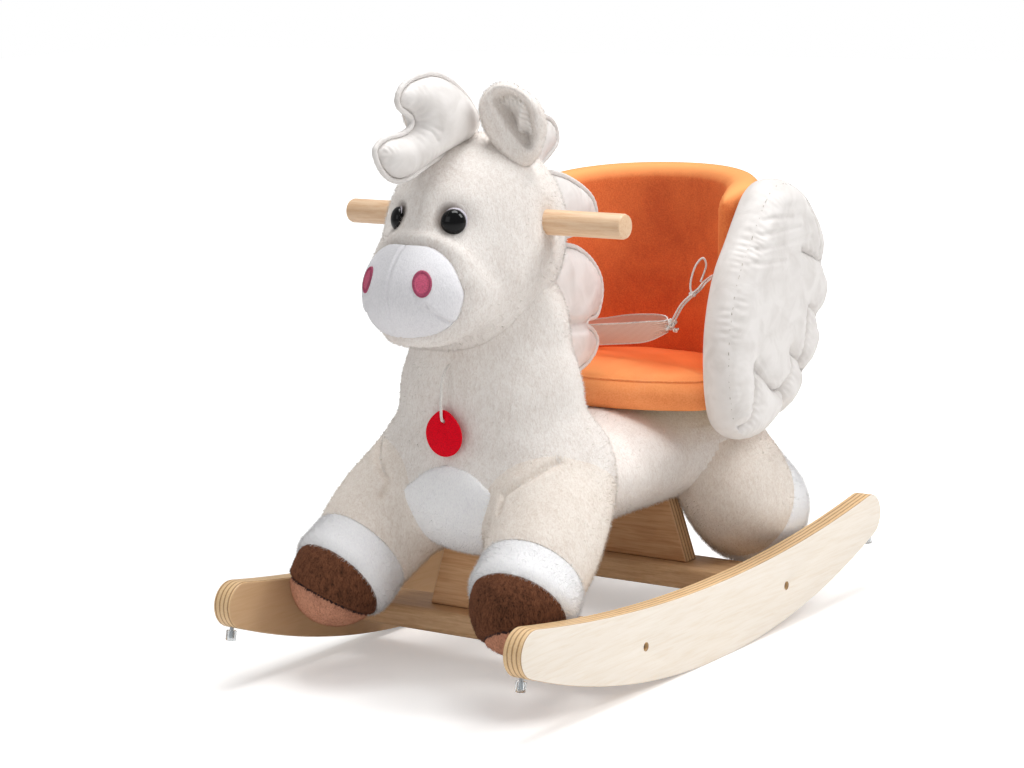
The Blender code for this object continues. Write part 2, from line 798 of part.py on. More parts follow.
def wall(name, outer_depth, inner_depth, low, drop, look, grow=0.0, round_top=0.0, short=0.0):
    """Upright horseshoe wall between two depths inside the backrest's outer face."""
    outer = plan_horseshoe(outer_depth - grow, short=short)
    inner = plan_horseshoe(inner_depth + grow, short=short)
    bm = bmesh.new()
    loops = []
    levels = 4 if round_top else 1
    for (ox, oy), (ix, iy) in zip(outer, inner):
        if (ox, oy) in (outer[0], outer[-1]):
            oy, iy = oy - grow, iy - grow
        high = back_top(ox, oy, drop) + grow
        section = [(ox, oy, low - grow), (ix, iy, low - grow)]
        if round_top:
            for k in range(levels * 2 + 1):
                angle = math.pi * k / (levels * 2)
                share = (1 + math.cos(angle)) / 2
                lift = round_top * math.sin(angle)
                section.append((ix * share + ox * (1 - share), iy * share + oy * (1 - share),
                                high - round_top + lift))
        else:
            section += [(ix, iy, high), (ox, oy, high)]
        loops.append([bm.verts.new(p) for p in section])
    join_rings(bm, loops)
    return finish(name, bm, look, 45)


def seat():
    board = seat_board()
    depths = (SHELL_COVER, SHELL_COVER + SHELL_THICKNESS)
    low = SEAT_UNDER + SEAT_BOARD - SHELL_GROOVE + GAP
    cut(board, wall("shell_groove", *depths, low, SHELL_TOP_COVER, inner_ply(), GAP, short=SHELL_SHORT))
    wall("back_shell", *depths, low, SHELL_TOP_COVER, inner_ply(), short=SHELL_SHORT)
    for where, y in zip(("front", "rear"), SEAT_BOLT_Y):
        cut(board, seat_bolt(f"board_bolt_hole_{where}", y, GAP))
    board_space = seat_board("seat_board_space", GAP)

    pad = wall("backrest_pad", 0, BACK_THICKNESS, SEAT_UNDER + GAP, 0, orange_velvet(),
               round_top=0.014)
    cut(pad, board_space)
    cut(pad, wall("shell_space", *depths, low, SHELL_TOP_COVER, inner_ply(), GAP, short=SHELL_SHORT))

    high = SEAT_PAD_TOP
    floor = SEAT_UNDER + GAP
    thick = high - floor
    middle = (high + floor) / 2
    crown = 0.004
    centre = (0, (SEAT_FRONT + SEAT_BACK) / 2)
    cushion = pillow("seat_cushion", seat_plan(), centre,
                     lambda p: (p[0], p[1], middle + p[2]), thick / 2 + crown, thick / 2,
                     thick / 2 - 0.003, orange_velvet(), rings=5, power=3.0)
    keep_side(cushion, (0, 0, floor), (0, 0, -1))
    cut(cushion, board_space)
    for where, y in zip(("front", "rear"), SEAT_BOLT_Y):
        cut(cushion, seat_bolt(f"pad_bolt_space_{where}", y, GAP))
    arms = wall("arm_space", -0.004, BACK_THICKNESS, floor, -0.01, orange_velvet(), GAP)
    cut(cushion, arms)


# Plush animal

TRUNK_BLEND = 0.006
NECK_BLEND = 0.006
HEAD_BLEND = 0.005
TRUNK_CENTRE = (0, 0.010, 0.152)
TRUNK_LOBES = [((0, -0.100, 0.160), (0.086, 0.080, 0.056)),
               ((0, -0.020, 0.152), (0.080, 0.110, 0.049)),
               ((0, 0.070, 0.150), (0.080, 0.110, 0.047)),
               ((0, 0.140, 0.156), (0.084, 0.080, 0.052))]
NECK_CENTRE = (0, -0.106, 0.250)
NECK_LOBES = [((0, -0.112, 0.190), (0.088, 0.064, 0.060)),
              ((0, -0.108, 0.240), (0.084, 0.062, 0.070)),
              ((0, -0.106, 0.300), (0.070, 0.056, 0.060)),
              ((0, -0.075, 0.260), (0.040, 0.050, 0.090))]
HEAD_CENTRE = (0, -0.135, 0.362)
HEAD_LOBES = [((0, -0.122, 0.378), (0.070, 0.084, 0.084)),
              ((0, -0.150, 0.350), (0.064, 0.070, 0.066)),
              ((0, -0.188, 0.338), (0.054, 0.058, 0.048))]


def trunk(name, look, grow=0.0):
    return soft_form(name, TRUNK_CENTRE, TRUNK_LOBES, look, (0, 1, 0), TRUNK_BLEND, grow,
                     rings=14, segments=20)


def neck(name, look, grow=0.0):
    return soft_form(name, NECK_CENTRE, NECK_LOBES, look, (0, 0, 1), NECK_BLEND, grow)


def head(name, look, grow=0.0):
    return soft_form(name, HEAD_CENTRE, HEAD_LOBES, look, (0, 1, -0.12), HEAD_BLEND, grow, rings=15,
                     segments=22)


def muzzle_normal():
    return Vector((0, -math.cos(MUZZLE_SEAM_TILT), math.sin(MUZZLE_SEAM_TILT)))


def leg_lobes(points):
    """Lobes along a leg from (place, radius, stretch) rows."""
    return [(place, (radius, radius * stretch, radius)) for place, radius, stretch in points]


def front_leg_lobes(side):
    return leg_lobes([((side * 0.070, -0.110, 0.168), 0.044, 1.00),
                      ((side * 0.080, -0.135, 0.145), 0.046, 1.00),
                      ((side * 0.088, -0.165, 0.118), 0.046, 1.00),
                      ((side * 0.093, -0.195, 0.092), 0.043, 1.00),
                      ((side * 0.095, -0.212, 0.084), 0.040, 1.00)])


def rear_leg_lobes(side):
    return leg_lobes([((side * 0.068, 0.150, 0.158), 0.044, 1.05),
                      ((side * 0.080, 0.146, 0.132), 0.046, 1.00),
                      ((side * 0.086, 0.151, 0.114), 0.047, 1.00),
                      ((side * 0.088, 0.165, 0.099), 0.048, 1.00),
                      ((side * 0.088, 0.182, 0.090), 0.0485, 1.00)])


def leg(where, label, lobes, along, cuff_length, hoof_length):
    """Leg in three pieces, each flat against the next: plush leg, cuff and hoof."""
    along = Vector(along).normalized()
    centre = lobes[2][0]
    tip = Vector(lobes[-1][0]) + along * lobes[-1][1][0]
    hoof_seam = tip - along * hoof_length
    cuff_seam = hoof_seam - along * cuff_length
    full = dict(axis=along, blend=0.006, rings=11, segments=16)
    if where == "front":
        as_cutter(soft_form(f"{where}_leg_space_{label}", centre, lobes, cream_plush(), grow=GAP * 1.5,
                            **full))
    upper = soft_form(f"{where}_leg_{label}", centre, lobes, cream_plush(), **full)
    keep_side(upper, cuff_seam, along, GAP / 2)
    cut_form(upper, "trunk_space", "neck_space")
    cuff = soft_form(f"{where}_cuff_{label}", centre, lobes, white_plush(), **full)
    keep_side(cuff, hoof_seam, along, GAP / 2)
    keep_side(cuff, cuff_seam, -along, GAP / 2)
    cut_form(cuff, "trunk_space")
    hoof = soft_form(f"{where}_hoof_{label}", centre, lobes, brown_plush(), grow=-HOOF_INSET,
                     **full)
    keep_side(hoof, hoof_seam, -along, GAP / 2)


def animal():
    trunk_item = trunk("trunk", cream_plush())
    seat_plane = (0, 0, SEAT_UNDER)
    keep_side(trunk_item, seat_plane, (0, 0, 1))
    trunk("trunk_space", cream_plush(), GAP * 1.5)
    neck_item = neck("neck", cream_plush())
    neck("neck_space", cream_plush(), GAP * 1.5)
    head_item = head("head", cream_plush())
    head("head_space", cream_plush(), GAP * 1.5)
    muzzle_item = head("muzzle_cap", white_plush())
    seam = (0, MUZZLE_SEAM_Y, MUZZLE_SEAM_Z)
    keep_side(head_item, seam, muzzle_normal(), GAP / 2)
    keep_side(muzzle_item, seam, -muzzle_normal(), GAP / 2)
    frame_spaces = [core_board("core_space", GAP), neck_post("post_space", GAP)]
    for where, y in (("front", -RAIL_OFFSET), ("rear", RAIL_OFFSET)):
        frame_spaces.append(prism_y(f"upright_space_{where}", upright_outline(GAP),
                                    y - BOARD / 2 - GAP, y + BOARD / 2 + GAP, birch()))
    for where, y in zip(("front", "rear"), SEAT_BOLT_Y):
        frame_spaces.append(seat_bolt(f"trunk_bolt_space_{where}", y, GAP))
    cut(trunk_item, *frame_spaces)
    cut_form(neck_item, "trunk_space", "head_space")
    cut(neck_item, frame_spaces[1])
    cut(head_item, frame_spaces[1], handle_bar("bar_space", GAP))
    for side, label in ((1, "left"), (-1, "right")):
        leg("front", label, front_leg_lobes(side), (side * 0.12, -0.80, -0.55), CUFF_LENGTH,
            HOOF_LENGTH)
        leg("rear", label, rear_leg_lobes(side), (side * -0.05, 0.92, -0.38), REAR_CUFF_LENGTH,
            REAR_HOOF_LENGTH)


# Face

def reach_surface(lobes, blend, start, direction, level=0.0, reach=0.3):
    """Point where a ray from inside the lobes passes the given distance from their skin."""
    start = np.asarray(start, float)
    direction = np.asarray(direction, float)
    direction = direction / np.linalg.norm(direction)
    low, high = 0.0, reach
    for _ in range(40):
        middle = (low + high) / 2
        if blended_distance((start + direction * middle)[None, :], lobes, blend)[0] > level:
            high = middle
        else:
            low = middle
    return start + direction * low


def face_place(side, x, z):
    """Point on the head's skin, straight forward from inside it."""
    return reach_surface(HEAD_LOBES, HEAD_BLEND, (side * x, HEAD_CENTRE[1], z), (0, -1, 0))


def eye(name, side, grow=0.0):
    spot = face_place(side, EYE_SIDE, EYE_HEIGHT)
    direction = (side * math.sin(EYE_TURN), -math.cos(EYE_TURN), 0.10)
    radius = EYE_DIAMETER / 2 + grow
    if grow:
        profile = [(-EYE_POCKET - grow, radius), (EYE_RISE + 0.01, radius)]
    else:
        profile = [(-EYE_POCKET, 0), (-EYE_POCKET, radius - 0.0006), (-EYE_POCKET + 0.0006, radius)]
        steps = 4
        for k in range(steps):
            angle = math.pi / 2 * k / steps
            profile.append((EYE_RISE * math.sin(angle), radius * math.cos(angle)))
        profile.append((EYE_RISE, 0))
    return turned(name, profile, spot, direction, eye_plastic(), 16)


def skin_patch(name, lobes, blend, inside, outline, thickness, look, project=(0, -1, 0)):
    """Thin raised patch on a form: outline points in space, thrown onto the skin from inside."""
    bm = bmesh.new()
    middle = np.mean(np.asarray(outline, float), axis=0)
    loops = [(0.0, -thickness), (0.55, -thickness), (1.0, -thickness), (1.0, thickness * 0.5),
             (0.92, thickness), (0.5, thickness), (0.0, thickness)]
    rings = []
    for share, level in loops:
        ring = []
        for point in outline if share > 0 else outline[:1]:
            spot = middle + (np.asarray(point, float) - middle) * share
            start = spot + np.asarray(inside, float)
            ring.append(bm.verts.new(reach_surface(lobes, blend, start, project, level)))
        rings.append(ring)
    join_rings(bm, rings)
    return finish(name, bm, look, 50)


def oval(centre, half_width, half_height, turn, count=14):
    points = []
    for k in range(count):
        angle = 2 * math.pi * k / count
        u, v = half_width * math.cos(angle), half_height * math.sin(angle)
        points.append((centre[0] + u * math.cos(turn), centre[1] + u * math.sin(turn), centre[2] + v))
    return points


def nostril(name, side):
    spot = reach_surface(HEAD_LOBES, HEAD_BLEND, (side * NOSTRIL_SIDE, -0.19, NOSTRIL_Z), (0, -1, 0))
    turn = side * math.asin(NOSTRIL_SIDE / 0.055)
    outline = oval(spot, NOSTRIL_WIDTH / 2, NOSTRIL_HEIGHT / 2, turn)
    project = (math.sin(turn), -math.cos(turn), 0)
    inside = tuple(-0.02 * c for c in project)
    patch = skin_patch(name, HEAD_LOBES, HEAD_BLEND, inside, outline, NOSTRIL_THICK,
                       nostril_thread(), project)
    return cut_form(patch, "head_space")


def face():
    for side, label in ((1, "left"), (-1, "right")):
        cut(bpy.data.objects["head"], eye(f"eye_pocket_{label}", side, GAP))
        eye(f"eye_{label}", side)
        nostril(f"nostril_{label}", side)
        ear(f"ear_{label}", side)


def ear(name, side):
    outline = []
    steps = 16
    for k in range(steps):
        angle = 2 * math.pi * k / steps
        narrow = 1 - 0.16 * max(0, -math.sin(angle))
        outline.append((EAR_HALF_WIDTH * math.cos(angle) * narrow, EAR_HALF_HEIGHT * math.sin(angle)))

    def place(p):
        across = Vector((math.cos(EAR_TURN), side * math.sin(EAR_TURN), 0))
        facing = Vector((side * math.sin(EAR_TURN), -math.cos(EAR_TURN), 0.12)).normalized()
        lean = Vector((side * 0.10, 0.05, 1)).normalized()
        return Vector((side * EAR_SIDE, EAR_Y, EAR_Z)) + across * p[0] + lean * p[1] + facing * p[2]

    def dish(u, v, _scale):
        return 1 - EAR_DISH * math.exp(-(u / 0.011) ** 2 - ((v - 0.004) / 0.022) ** 2)

    form = pillow(name, outline, (0, 0.002), place, EAR_THICKNESS * 0.5, EAR_THICKNESS * 0.5,
                  EAR_THICKNESS * 0.22, cream_plush(), rings=4, groove=dish)
    return cut_form(form, "head_space")


def forelock():
    """Curl over the forehead, in the middle plane: high lobe behind, low lobe in front."""
    key = [(-0.135, 0.500), (-0.160, 0.513), (-0.187, 0.517), (-0.212, 0.513), (-0.227, 0.500),
           (-0.224, 0.487), (-0.210, 0.479), (-0.228, 0.472), (-0.250, 0.467), (-0.259, 0.455),
           (-0.252, 0.440), (-0.233, 0.431), (-0.207, 0.433), (-0.180, 0.436), (-0.150, 0.441),
           (-0.124, 0.449), (-0.116, 0.468), (-0.120, 0.485)]
    outline = [(p.x, p.y) for p in smooth_curve([(y, z, 0) for y, z in key], 30)]
    form = pillow("forelock", outline, (-0.186, 0.470), lambda p: (p[2], p[0], p[1]), FORELOCK_HALF,
                  FORELOCK_HALF, CORD_EDGE_HALF, white_satin(), rings=4, power=2.4)
    return cut_form(form, "head_space")


def crest(name, lobe_keys, root, half, look, samples=6):
    """Scalloped stuffed crest in the middle plane, lofted from a hidden root line outwards."""
    outer = []
    swell = []
    for keys in lobe_keys:
        curve = smooth_curve([(y, z, 0) for y, z in keys], samples, closed=False)
        for k, point in enumerate(curve[:-1]):
            outer.append(point)
            swell.append(0.42 + 0.58 * math.sin(math.pi * k / (samples - 1)))
    outer.append(curve[-1])
    swell.append(0.42)
    inner = smooth_curve([(y, z, 0) for y, z in root], len(outer), closed=False)
    profile = [(0.0, 0.75), (0.4, 1.0), (0.8, 0.74)]
    bm = bmesh.new()
    loops = []
    for base, tip, size in zip(inner, outer, swell):
        ring = []
        for share, tall in profile:
            spot = base.lerp(tip, share)
            ring.append((max(half * tall * size, CORD_EDGE_HALF), spot.x, spot.y))
        ring.append((CORD_EDGE_HALF * 0.8, tip.x, tip.y))
        mirrored = [(-x, y, z) for x, y, z in reversed(ring)]
        loops.append([bm.verts.new(p) for p in ring + mirrored])
    join_rings(bm, loops)
    return finish(name, bm, look, 50)


def mane():
    lobes = [[(-0.050, 0.474), (-0.022, 0.471), (-0.002, 0.460), (0.001, 0.444), (-0.010, 0.432),
              (-0.030, 0.424)],
             [(-0.030, 0.424), (0.004, 0.417), (0.038, 0.402), (0.059, 0.380), (0.055, 0.364),
              (0.028, 0.357), (0.005, 0.357)],
             [(0.005, 0.357), (0.032, 0.348), (0.058, 0.326), (0.067, 0.304), (0.061, 0.286),
              (0.040, 0.281)],
             [(0.040, 0.281), (0.054, 0.270), (0.057, 0.256), (0.047, 0.243), (0.030, 0.238)]]
    root = [(-0.105, 0.440), (-0.080, 0.400), (-0.075, 0.350), (-0.075, 0.300), (-0.070, 0.250),
            (-0.060, 0.232)]
    return cut_form(crest("mane", lobes, root, MANE_HALF, white_satin()), "head_space", "neck_space")


def tail():
    lobes = [[(0.205, 0.192), (0.240, 0.186), (0.263, 0.168), (0.268, 0.148), (0.256, 0.138)],
             [(0.256, 0.138), (0.276, 0.124), (0.280, 0.104), (0.266, 0.086), (0.246, 0.082)]]
    root = [(0.170, 0.170), (0.185, 0.150), (0.210, 0.130), (0.232, 0.110), (0.238, 0.084)]
    return cut_form(crest("tail", lobes, root, TAIL_HALF, white_satin()), "trunk_space")


def chest_patch():
    half = [(0.0, 0.192), (0.018, 0.189), (0.036, 0.177), (0.047, 0.162), (0.046, 0.144),
            (0.037, 0.128), (0.020, 0.118), (0.0, 0.115)]
    mirrored = [(-x, z) for x, z in reversed(half[1:-1])]
    outline = [(p.x, -0.10, p.y) for p in smooth_curve([(x, z, 0) for x, z in half + mirrored], 18)]
    patch = skin_patch("chest_patch", TRUNK_LOBES + NECK_LOBES[:1], TRUNK_BLEND, (0, 0, 0), outline,
                       CHEST_PATCH_THICK, white_plush())
    return cut_form(patch, "trunk_space", "neck_space", "front_leg_space_left",
                    "front_leg_space_right")


# Wings, belt and tag

def wing_outline():
    """Wing seen from the side, (y, z): smooth front edge, feathers along the rear edge."""
    front = [(0.196, 0.374), (0.160, 0.398), (0.125, 0.399), (0.090, 0.370), (0.060, 0.335),
             (0.042, 0.295), (0.037, 0.250), (0.042, 0.208), (0.062, 0.180), (0.090, 0.176)]
    rear = [((0.090, 0.176), (0.118, 0.180), (0.140, 0.194)),
            ((0.140, 0.194), (0.172, 0.198), (0.186, 0.222)),
            ((0.186, 0.222), (0.212, 0.234), (0.209, 0.262)),
            ((0.209, 0.262), (0.230, 0.284), (0.217, 0.312)),
            ((0.217, 0.312), (0.228, 0.344), (0.196, 0.374))]
    points = smooth_curve([(y, z, 0) for y, z in front], 14, closed=False)
    for start, bulge, end in rear:
        curve = smooth_curve([(*start, 0), (*bulge, 0), (*end, 0)], 5, closed=False)
        points += curve[1:]
    return [(p.x, p.y) for p in points[:-1]]


def wing(name, side):
    """Stuffed wing outside a backrest arm: deep gusset in front, quilted feathers behind."""
    inner = BACK_HALF_WIDTH + GAP
    half = WING_THICKNESS / 2
    channels = [((0.140, 0.200), (0.110, 0.245)), ((0.186, 0.222), (0.140, 0.262)),
                ((0.209, 0.262), (0.165, 0.285)), ((0.217, 0.312), (0.175, 0.312)),
                ((0.095, 0.182), (0.090, 0.238))]

    def quilt(u, v, _scale):
        share = 1.0
        for one, two in channels:
            start, end = Vector(one), Vector(two)
            along = (Vector((u, v)) - start).dot(end - start) / (end - start).length_squared
            near = start.lerp(end, min(max(along, 0), 1))
            share -= WING_CHANNEL * math.exp(-((Vector((u, v)) - near).length / 0.007) ** 2)
        return max(share, 0)

    def place(p):
        back = min(max((p[0] - 0.10) / 0.11, 0), 1)
        squeeze = 1 - (1 - WING_REAR_SHARE) * back * back
        return (side * (inner + (p[2] + half) * squeeze), p[0], p[1])

    return pillow(name, wing_outline(), (0.125, 0.285), place, half, half, half - WING_CROWN,
                  white_satin(), rings=5, power=2.6, groove=quilt)


def ribbon(name, route, width, thickness, look, count=30):
    """Flat band on edge along a closed route of points, its width upright."""
    spots = smooth_curve(route, count)
    bm = bmesh.new()
    inner, outer = [], []
    for i, spot in enumerate(spots):
        ahead = (spots[(i + 1) % count] - spots[i - 1]).normalized()
        across = ahead.cross(Vector((0, 0, 1))).normalized() * thickness / 2
        up = Vector((0, 0, width / 2))
        outer.append([bm.verts.new(spot + across + up), bm.verts.new(spot + across - up)])
        inner.append([bm.verts.new(spot - across + up), bm.verts.new(spot - across - up)])
    for i in range(count):
        j = (i + 1) % count
        bm.faces.new((outer[i][0], outer[j][0], outer[j][1], outer[i][1]))
        bm.faces.new((inner[i][1], inner[j][1], inner[j][0], inner[i][0]))
        bm.faces.new((inner[i][0], inner[j][0], outer[j][0], outer[i][0]))
        bm.faces.new((outer[i][1], outer[j][1], inner[j][1], inner[i][1]))
    return finish(name, bm, look, 50)


def tube(name, route, diameter, look, spacing=2.2):
    """Cord: a bevelled curve with filled ends through a smooth route."""
    length = sum((Vector(b) - Vector(a)).length for a, b in zip(route, route[1:]))
    count = max(8, int(length / (diameter * spacing)) + 1)
    spots = smooth_curve(route, count, closed=False)
    curve = bpy.data.curves.new(name, "CURVE")
    curve.dimensions = "3D"
    curve.bevel_depth = diameter / 2
    curve.bevel_resolution = 2
    curve.use_fill_caps = True
    line = curve.splines.new("POLY")
    line.points.add(len(spots) - 1)
    for point, spot in zip(line.points, spots):
        point.co = (*spot, 1)
    item = bpy.data.objects.new(name, curve)
    bpy.context.scene.collection.objects.link(item)
    curve.materials.append(look)
    return item


def belt():
    """Elastic loop sewn to the far arm, its cotton tie led to the near arm."""
    wall_x = BACK_HALF_WIDTH - BACK_THICKNESS - GAP
    far = -(wall_x - BELT_THICKNESS / 2 - GAP)
    route = [(far, 0.116, 0.250), (far, 0.110, 0.250), (far + 0.0006, 0.105, 0.250),
             (far + 0.006, 0.1005, 0.250), (far + 0.018, 0.099, 0.252),
             (-0.040, 0.102, 0.255), (0.010, 0.099, 0.261), (0.044, 0.091, 0.267),
             (0.050, 0.096, 0.269), (0.032, 0.112, 0.268), (-0.010, 0.127, 0.263),
             (-0.046, 0.134, 0.256), (-0.0700, 0.132, 0.252), (far + 0.005, 0.127, 0.250),
             (far + 0.0006, 0.121, 0.250)]
    band = ribbon("belt_band", route, BELT_WIDTH, BELT_THICKNESS, belt_elastic())
    near = max(v.co.x for v in band.data.vertices) + TIE_DIAMETER / 2 + GAP
    side = wall_x - TIE_DIAMETER / 2
    tie = [(near, 0.094, 0.268), (near + 0.007, 0.092, 0.279), (near + 0.016, 0.093, 0.293),
           (side - 0.003, 0.098, 0.306), (side, 0.106, 0.313), (side, 0.114, 0.318)]
    tube("belt_tie", tie, TIE_DIAMETER, cord_cotton())


def chest_skin(z, ahead):
    """Point in front of the neck's skin, on the middle line."""
    spot = reach_surface(NECK_LOBES, NECK_BLEND, (0, NECK_CENTRE[1], z), (0, -1, 0))
    return spot[1] - ahead


def tag():
    back = chest_skin(TAG_HOLE_Z - 0.02, 0.0012)
    hole_r = TAG_HOLE / 2
    cord_r = TAG_CORD_DIAMETER / 2
    radius = TAG_DIAMETER / 2
    centre_z = TAG_HOLE_Z + TAG_EDGE - TAG_POINT - radius
    outline = []
    for k in range(32):
        angle = 2 * math.pi * k / 32
        lift = TAG_POINT * max(0, math.sin(angle)) ** 8
        outline.append((radius * math.cos(angle), centre_z + (radius + lift) * math.sin(angle)))
    disc = prism_y("tag_disc", outline, back - TAG_THICKNESS, back, tag_felt())
    bevel(disc, 0.0004, 1)
    cut(disc, turned("tag_hole", [(0, hole_r), (0.02, hole_r)], (0, back - 0.01, TAG_HOLE_Z),
                     (0, 1, 0), tag_felt(), 16))
    thread = TAG_HOLE_Z + hole_r - cord_r - GAP
    front = back - TAG_THICKNESS - cord_r - GAP
    exit_z = 0.272
    exit_y = chest_skin(exit_z, TAG_CORD_DIAMETER * 0.7)
    route = [(0, exit_y, exit_z), (0, exit_y - 0.0035, exit_z - 0.002),
             (0, chest_skin(0.262, 0.006), 0.262), (0, front - 0.0004, 0.244),
             (0, front - 0.0006, TAG_HOLE_Z + TAG_EDGE), (0, front - 0.0004, thread + 0.004),
             (0, front + 0.0006, thread), (0, back - 0.0004, thread)]
    tube("tag_cord", route, TAG_CORD_DIAMETER, cord_cotton())


def main():
    clear_scene()
    base_frame()
    inner_frame()
    seat()
    animal()
    face()
    forelock()
    mane()
    tail()
    chest_patch()
    for side, label in ((1, "left"), (-1, "right")):
        wing(f"wing_{label}", side)
    belt()
    tag()


main()
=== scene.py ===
"""Looks of a plush winged rocking horse with a child seat, on birch plywood rockers."""
import math

import bpy
import numpy as np
from mathutils import Matrix, Vector, noise
from mathutils.geometry import delaunay_2d_cdt


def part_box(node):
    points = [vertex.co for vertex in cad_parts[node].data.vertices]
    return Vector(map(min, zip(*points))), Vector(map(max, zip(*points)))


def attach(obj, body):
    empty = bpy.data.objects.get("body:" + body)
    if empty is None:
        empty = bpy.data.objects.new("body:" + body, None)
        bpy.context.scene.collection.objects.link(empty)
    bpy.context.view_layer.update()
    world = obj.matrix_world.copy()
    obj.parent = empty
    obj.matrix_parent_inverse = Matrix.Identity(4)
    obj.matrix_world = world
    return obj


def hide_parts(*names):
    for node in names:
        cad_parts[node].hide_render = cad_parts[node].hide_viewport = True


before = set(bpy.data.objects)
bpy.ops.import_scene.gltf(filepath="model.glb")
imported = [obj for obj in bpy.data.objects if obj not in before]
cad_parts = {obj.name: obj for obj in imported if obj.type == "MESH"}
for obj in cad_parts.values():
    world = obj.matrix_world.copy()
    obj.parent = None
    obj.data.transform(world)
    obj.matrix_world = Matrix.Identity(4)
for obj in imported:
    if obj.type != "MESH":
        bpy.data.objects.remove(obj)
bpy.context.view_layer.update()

SIDES = ((1, "left"), (-1, "right"))


# Shop tools

def let_go():
    """Nothing selected, in object mode."""
    if bpy.context.object and bpy.context.object.mode != "OBJECT":
        bpy.ops.object.mode_set(mode="OBJECT")
    bpy.ops.object.select_all(action="DESELECT")


def take(piece):
    """Select one piece and make it active."""
    let_go()
    piece.select_set(True)
    bpy.context.view_layer.objects.active = piece
    return piece


def settle(piece):
    """Place, turn and size go into the mesh."""
    take(piece)
    bpy.ops.object.transform_apply(location=True, rotation=True, scale=True)
    return piece


def fix(piece, step):
    """Apply one modifier."""
    take(piece)
    bpy.ops.object.modifier_apply(modifier=step.name)
    return piece


def round_edges(piece, width, segments=3, angle=40):
    """Round the edges that are sharper than an angle in degrees."""
    step = piece.modifiers.new("rounding", "BEVEL")
    step.width = width
    step.segments = segments
    step.limit_method = "ANGLE"
    step.angle_limit = math.radians(angle)
    return fix(piece, step)


def bore(piece, tool):
    """Cut a tool's shape out of a piece; the tool is used up."""
    step = piece.modifiers.new("bore", "BOOLEAN")
    step.operation = "DIFFERENCE"
    step.solver = "EXACT"
    step.object = tool
    fix(piece, step)
    bpy.data.objects.remove(tool, do_unlink=True)
    return piece


def sand(piece, degrees=40):
    """Smooth shading up to an angle between faces."""
    take(piece)
    bpy.ops.object.shade_smooth_by_angle(angle=math.radians(degrees))
    return piece


def placed(name, data):
    """New object in the scene."""
    piece = bpy.data.objects.new(name, data)
    bpy.context.scene.collection.objects.link(piece)
    return piece


def primitive(name, add, **sizes):
    """Basic form, made by one of Blender's own operators."""
    let_go()
    add(**sizes)
    piece = bpy.context.object
    piece.name = name
    return piece


def edited(piece, step, **settings):
    """Run one edit-mode step on the whole of a piece."""
    take(piece)
    bpy.ops.object.mode_set(mode="EDIT")
    bpy.ops.mesh.select_all(action="SELECT")
    step(**settings)
    bpy.ops.object.mode_set(mode="OBJECT")
    return piece


def dowel(name, start, end, radius, sides=48):
    """Round bar between two points."""
    start, end = Vector(start), Vector(end)
    turn = (end - start).to_track_quat("Z", "Y").to_euler()
    return settle(primitive(name, bpy.ops.mesh.primitive_cylinder_add, vertices=sides,
                            radius=radius, depth=(end - start).length,
                            location=(start + end) / 2, rotation=turn))


def mounted(piece, body, finish, nodes=()):
    """Finish a piece: its material, the body that it rides on and the nodes that it stands for."""
    piece.data.materials.clear()
    piece.data.materials.append(finish)
    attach(piece, body)
    if nodes:
        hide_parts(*nodes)
    return piece


# Material kit

LOOK = {"rough": "Roughness", "shine": "Specular IOR Level", "metal": "Metallic",
        "sheen": "Sheen Weight", "sheen_rough": "Sheen Roughness", "sheen_tint": "Sheen Tint",
        "clear": "Transmission Weight"}


def rgba(code):
    """Linear colour of an sRGB hex value."""
    values = [int(code[i:i + 2], 16) / 255 for i in (0, 2, 4)]
    return (*(v / 12.92 if v <= 0.04045 else ((v + 0.055) / 1.055) ** 2.4 for v in values), 1)


def put(tree, kind, sockets=None, **settings):
    """Add a node with its settings; a socket given another node's output is linked to it."""
    new = tree.nodes.new(kind)
    for key, value in settings.items():
        setattr(new, key, value)
    for key, value in (sockets or {}).items():
        if isinstance(value, bpy.types.NodeSocket):
            tree.links.new(value, new.inputs[key])
        else:
            new.inputs[key].default_value = rgba(value) if isinstance(value, str) else value
    return new


def coordinates(tree, kind="Object"):
    """Texture coordinates of one kind."""
    return put(tree, "ShaderNodeTexCoord").outputs[kind]


def shader(name):
    """New material; gives its tree, its Principled shader and Object coordinates."""
    new = bpy.data.materials.new(name)
    new.use_nodes = True
    tree = new.node_tree
    return new, tree, tree.nodes["Principled BSDF"], coordinates(tree)


def ramp(tree, value, stops):
    """Colour for a value, from (position, hex colour) stops."""
    new = put(tree, "ShaderNodeValToRGB", {"Fac": value})
    elements = new.color_ramp.elements
    for number in (0, -1):
        elements[number].position = stops[number][0]
        elements[number].color = rgba(stops[number][1])
    for position, code in stops[1:-1]:
        elements.new(position).color = rgba(code)
    return new.outputs["Color"]


def blend_colours(tree, amount, one, two, mode="MIX"):
    """Two colours mixed by an amount."""
    return put(tree, "ShaderNodeMix", {0: amount, 6: one, 7: two}, data_type="RGBA",
               blend_type=mode).outputs[2]


def compute(tree, operation, *values):
    """Result of one step of arithmetic."""
    return put(tree, "ShaderNodeMath", dict(enumerate(values)), operation=operation).outputs[0]


def between(tree, value, low, high, to_low=0.0, to_high=1.0):
    """Where a value lies between two limits, drawn out to a new range."""
    return put(tree, "ShaderNodeMapRange", {"Value": value, "From Min": low, "From Max": high,
                                            "To Min": to_low, "To Max": to_high}).outputs[0]


def split(tree, vector):
    """The x, y and z outputs of a vector."""
    return put(tree, "ShaderNodeSeparateXYZ", {0: vector}).outputs


def spots(tree, place, size_mm, detail, roughness=0.5, distortion=0.0):
    """Noise with spots of about a given size."""
    return put(tree, "ShaderNodeTexNoise",
               {"Vector": place, "Scale": 1000 / size_mm, "Detail": detail, "Roughness": roughness,
                "Distortion": distortion}).outputs["Fac"]


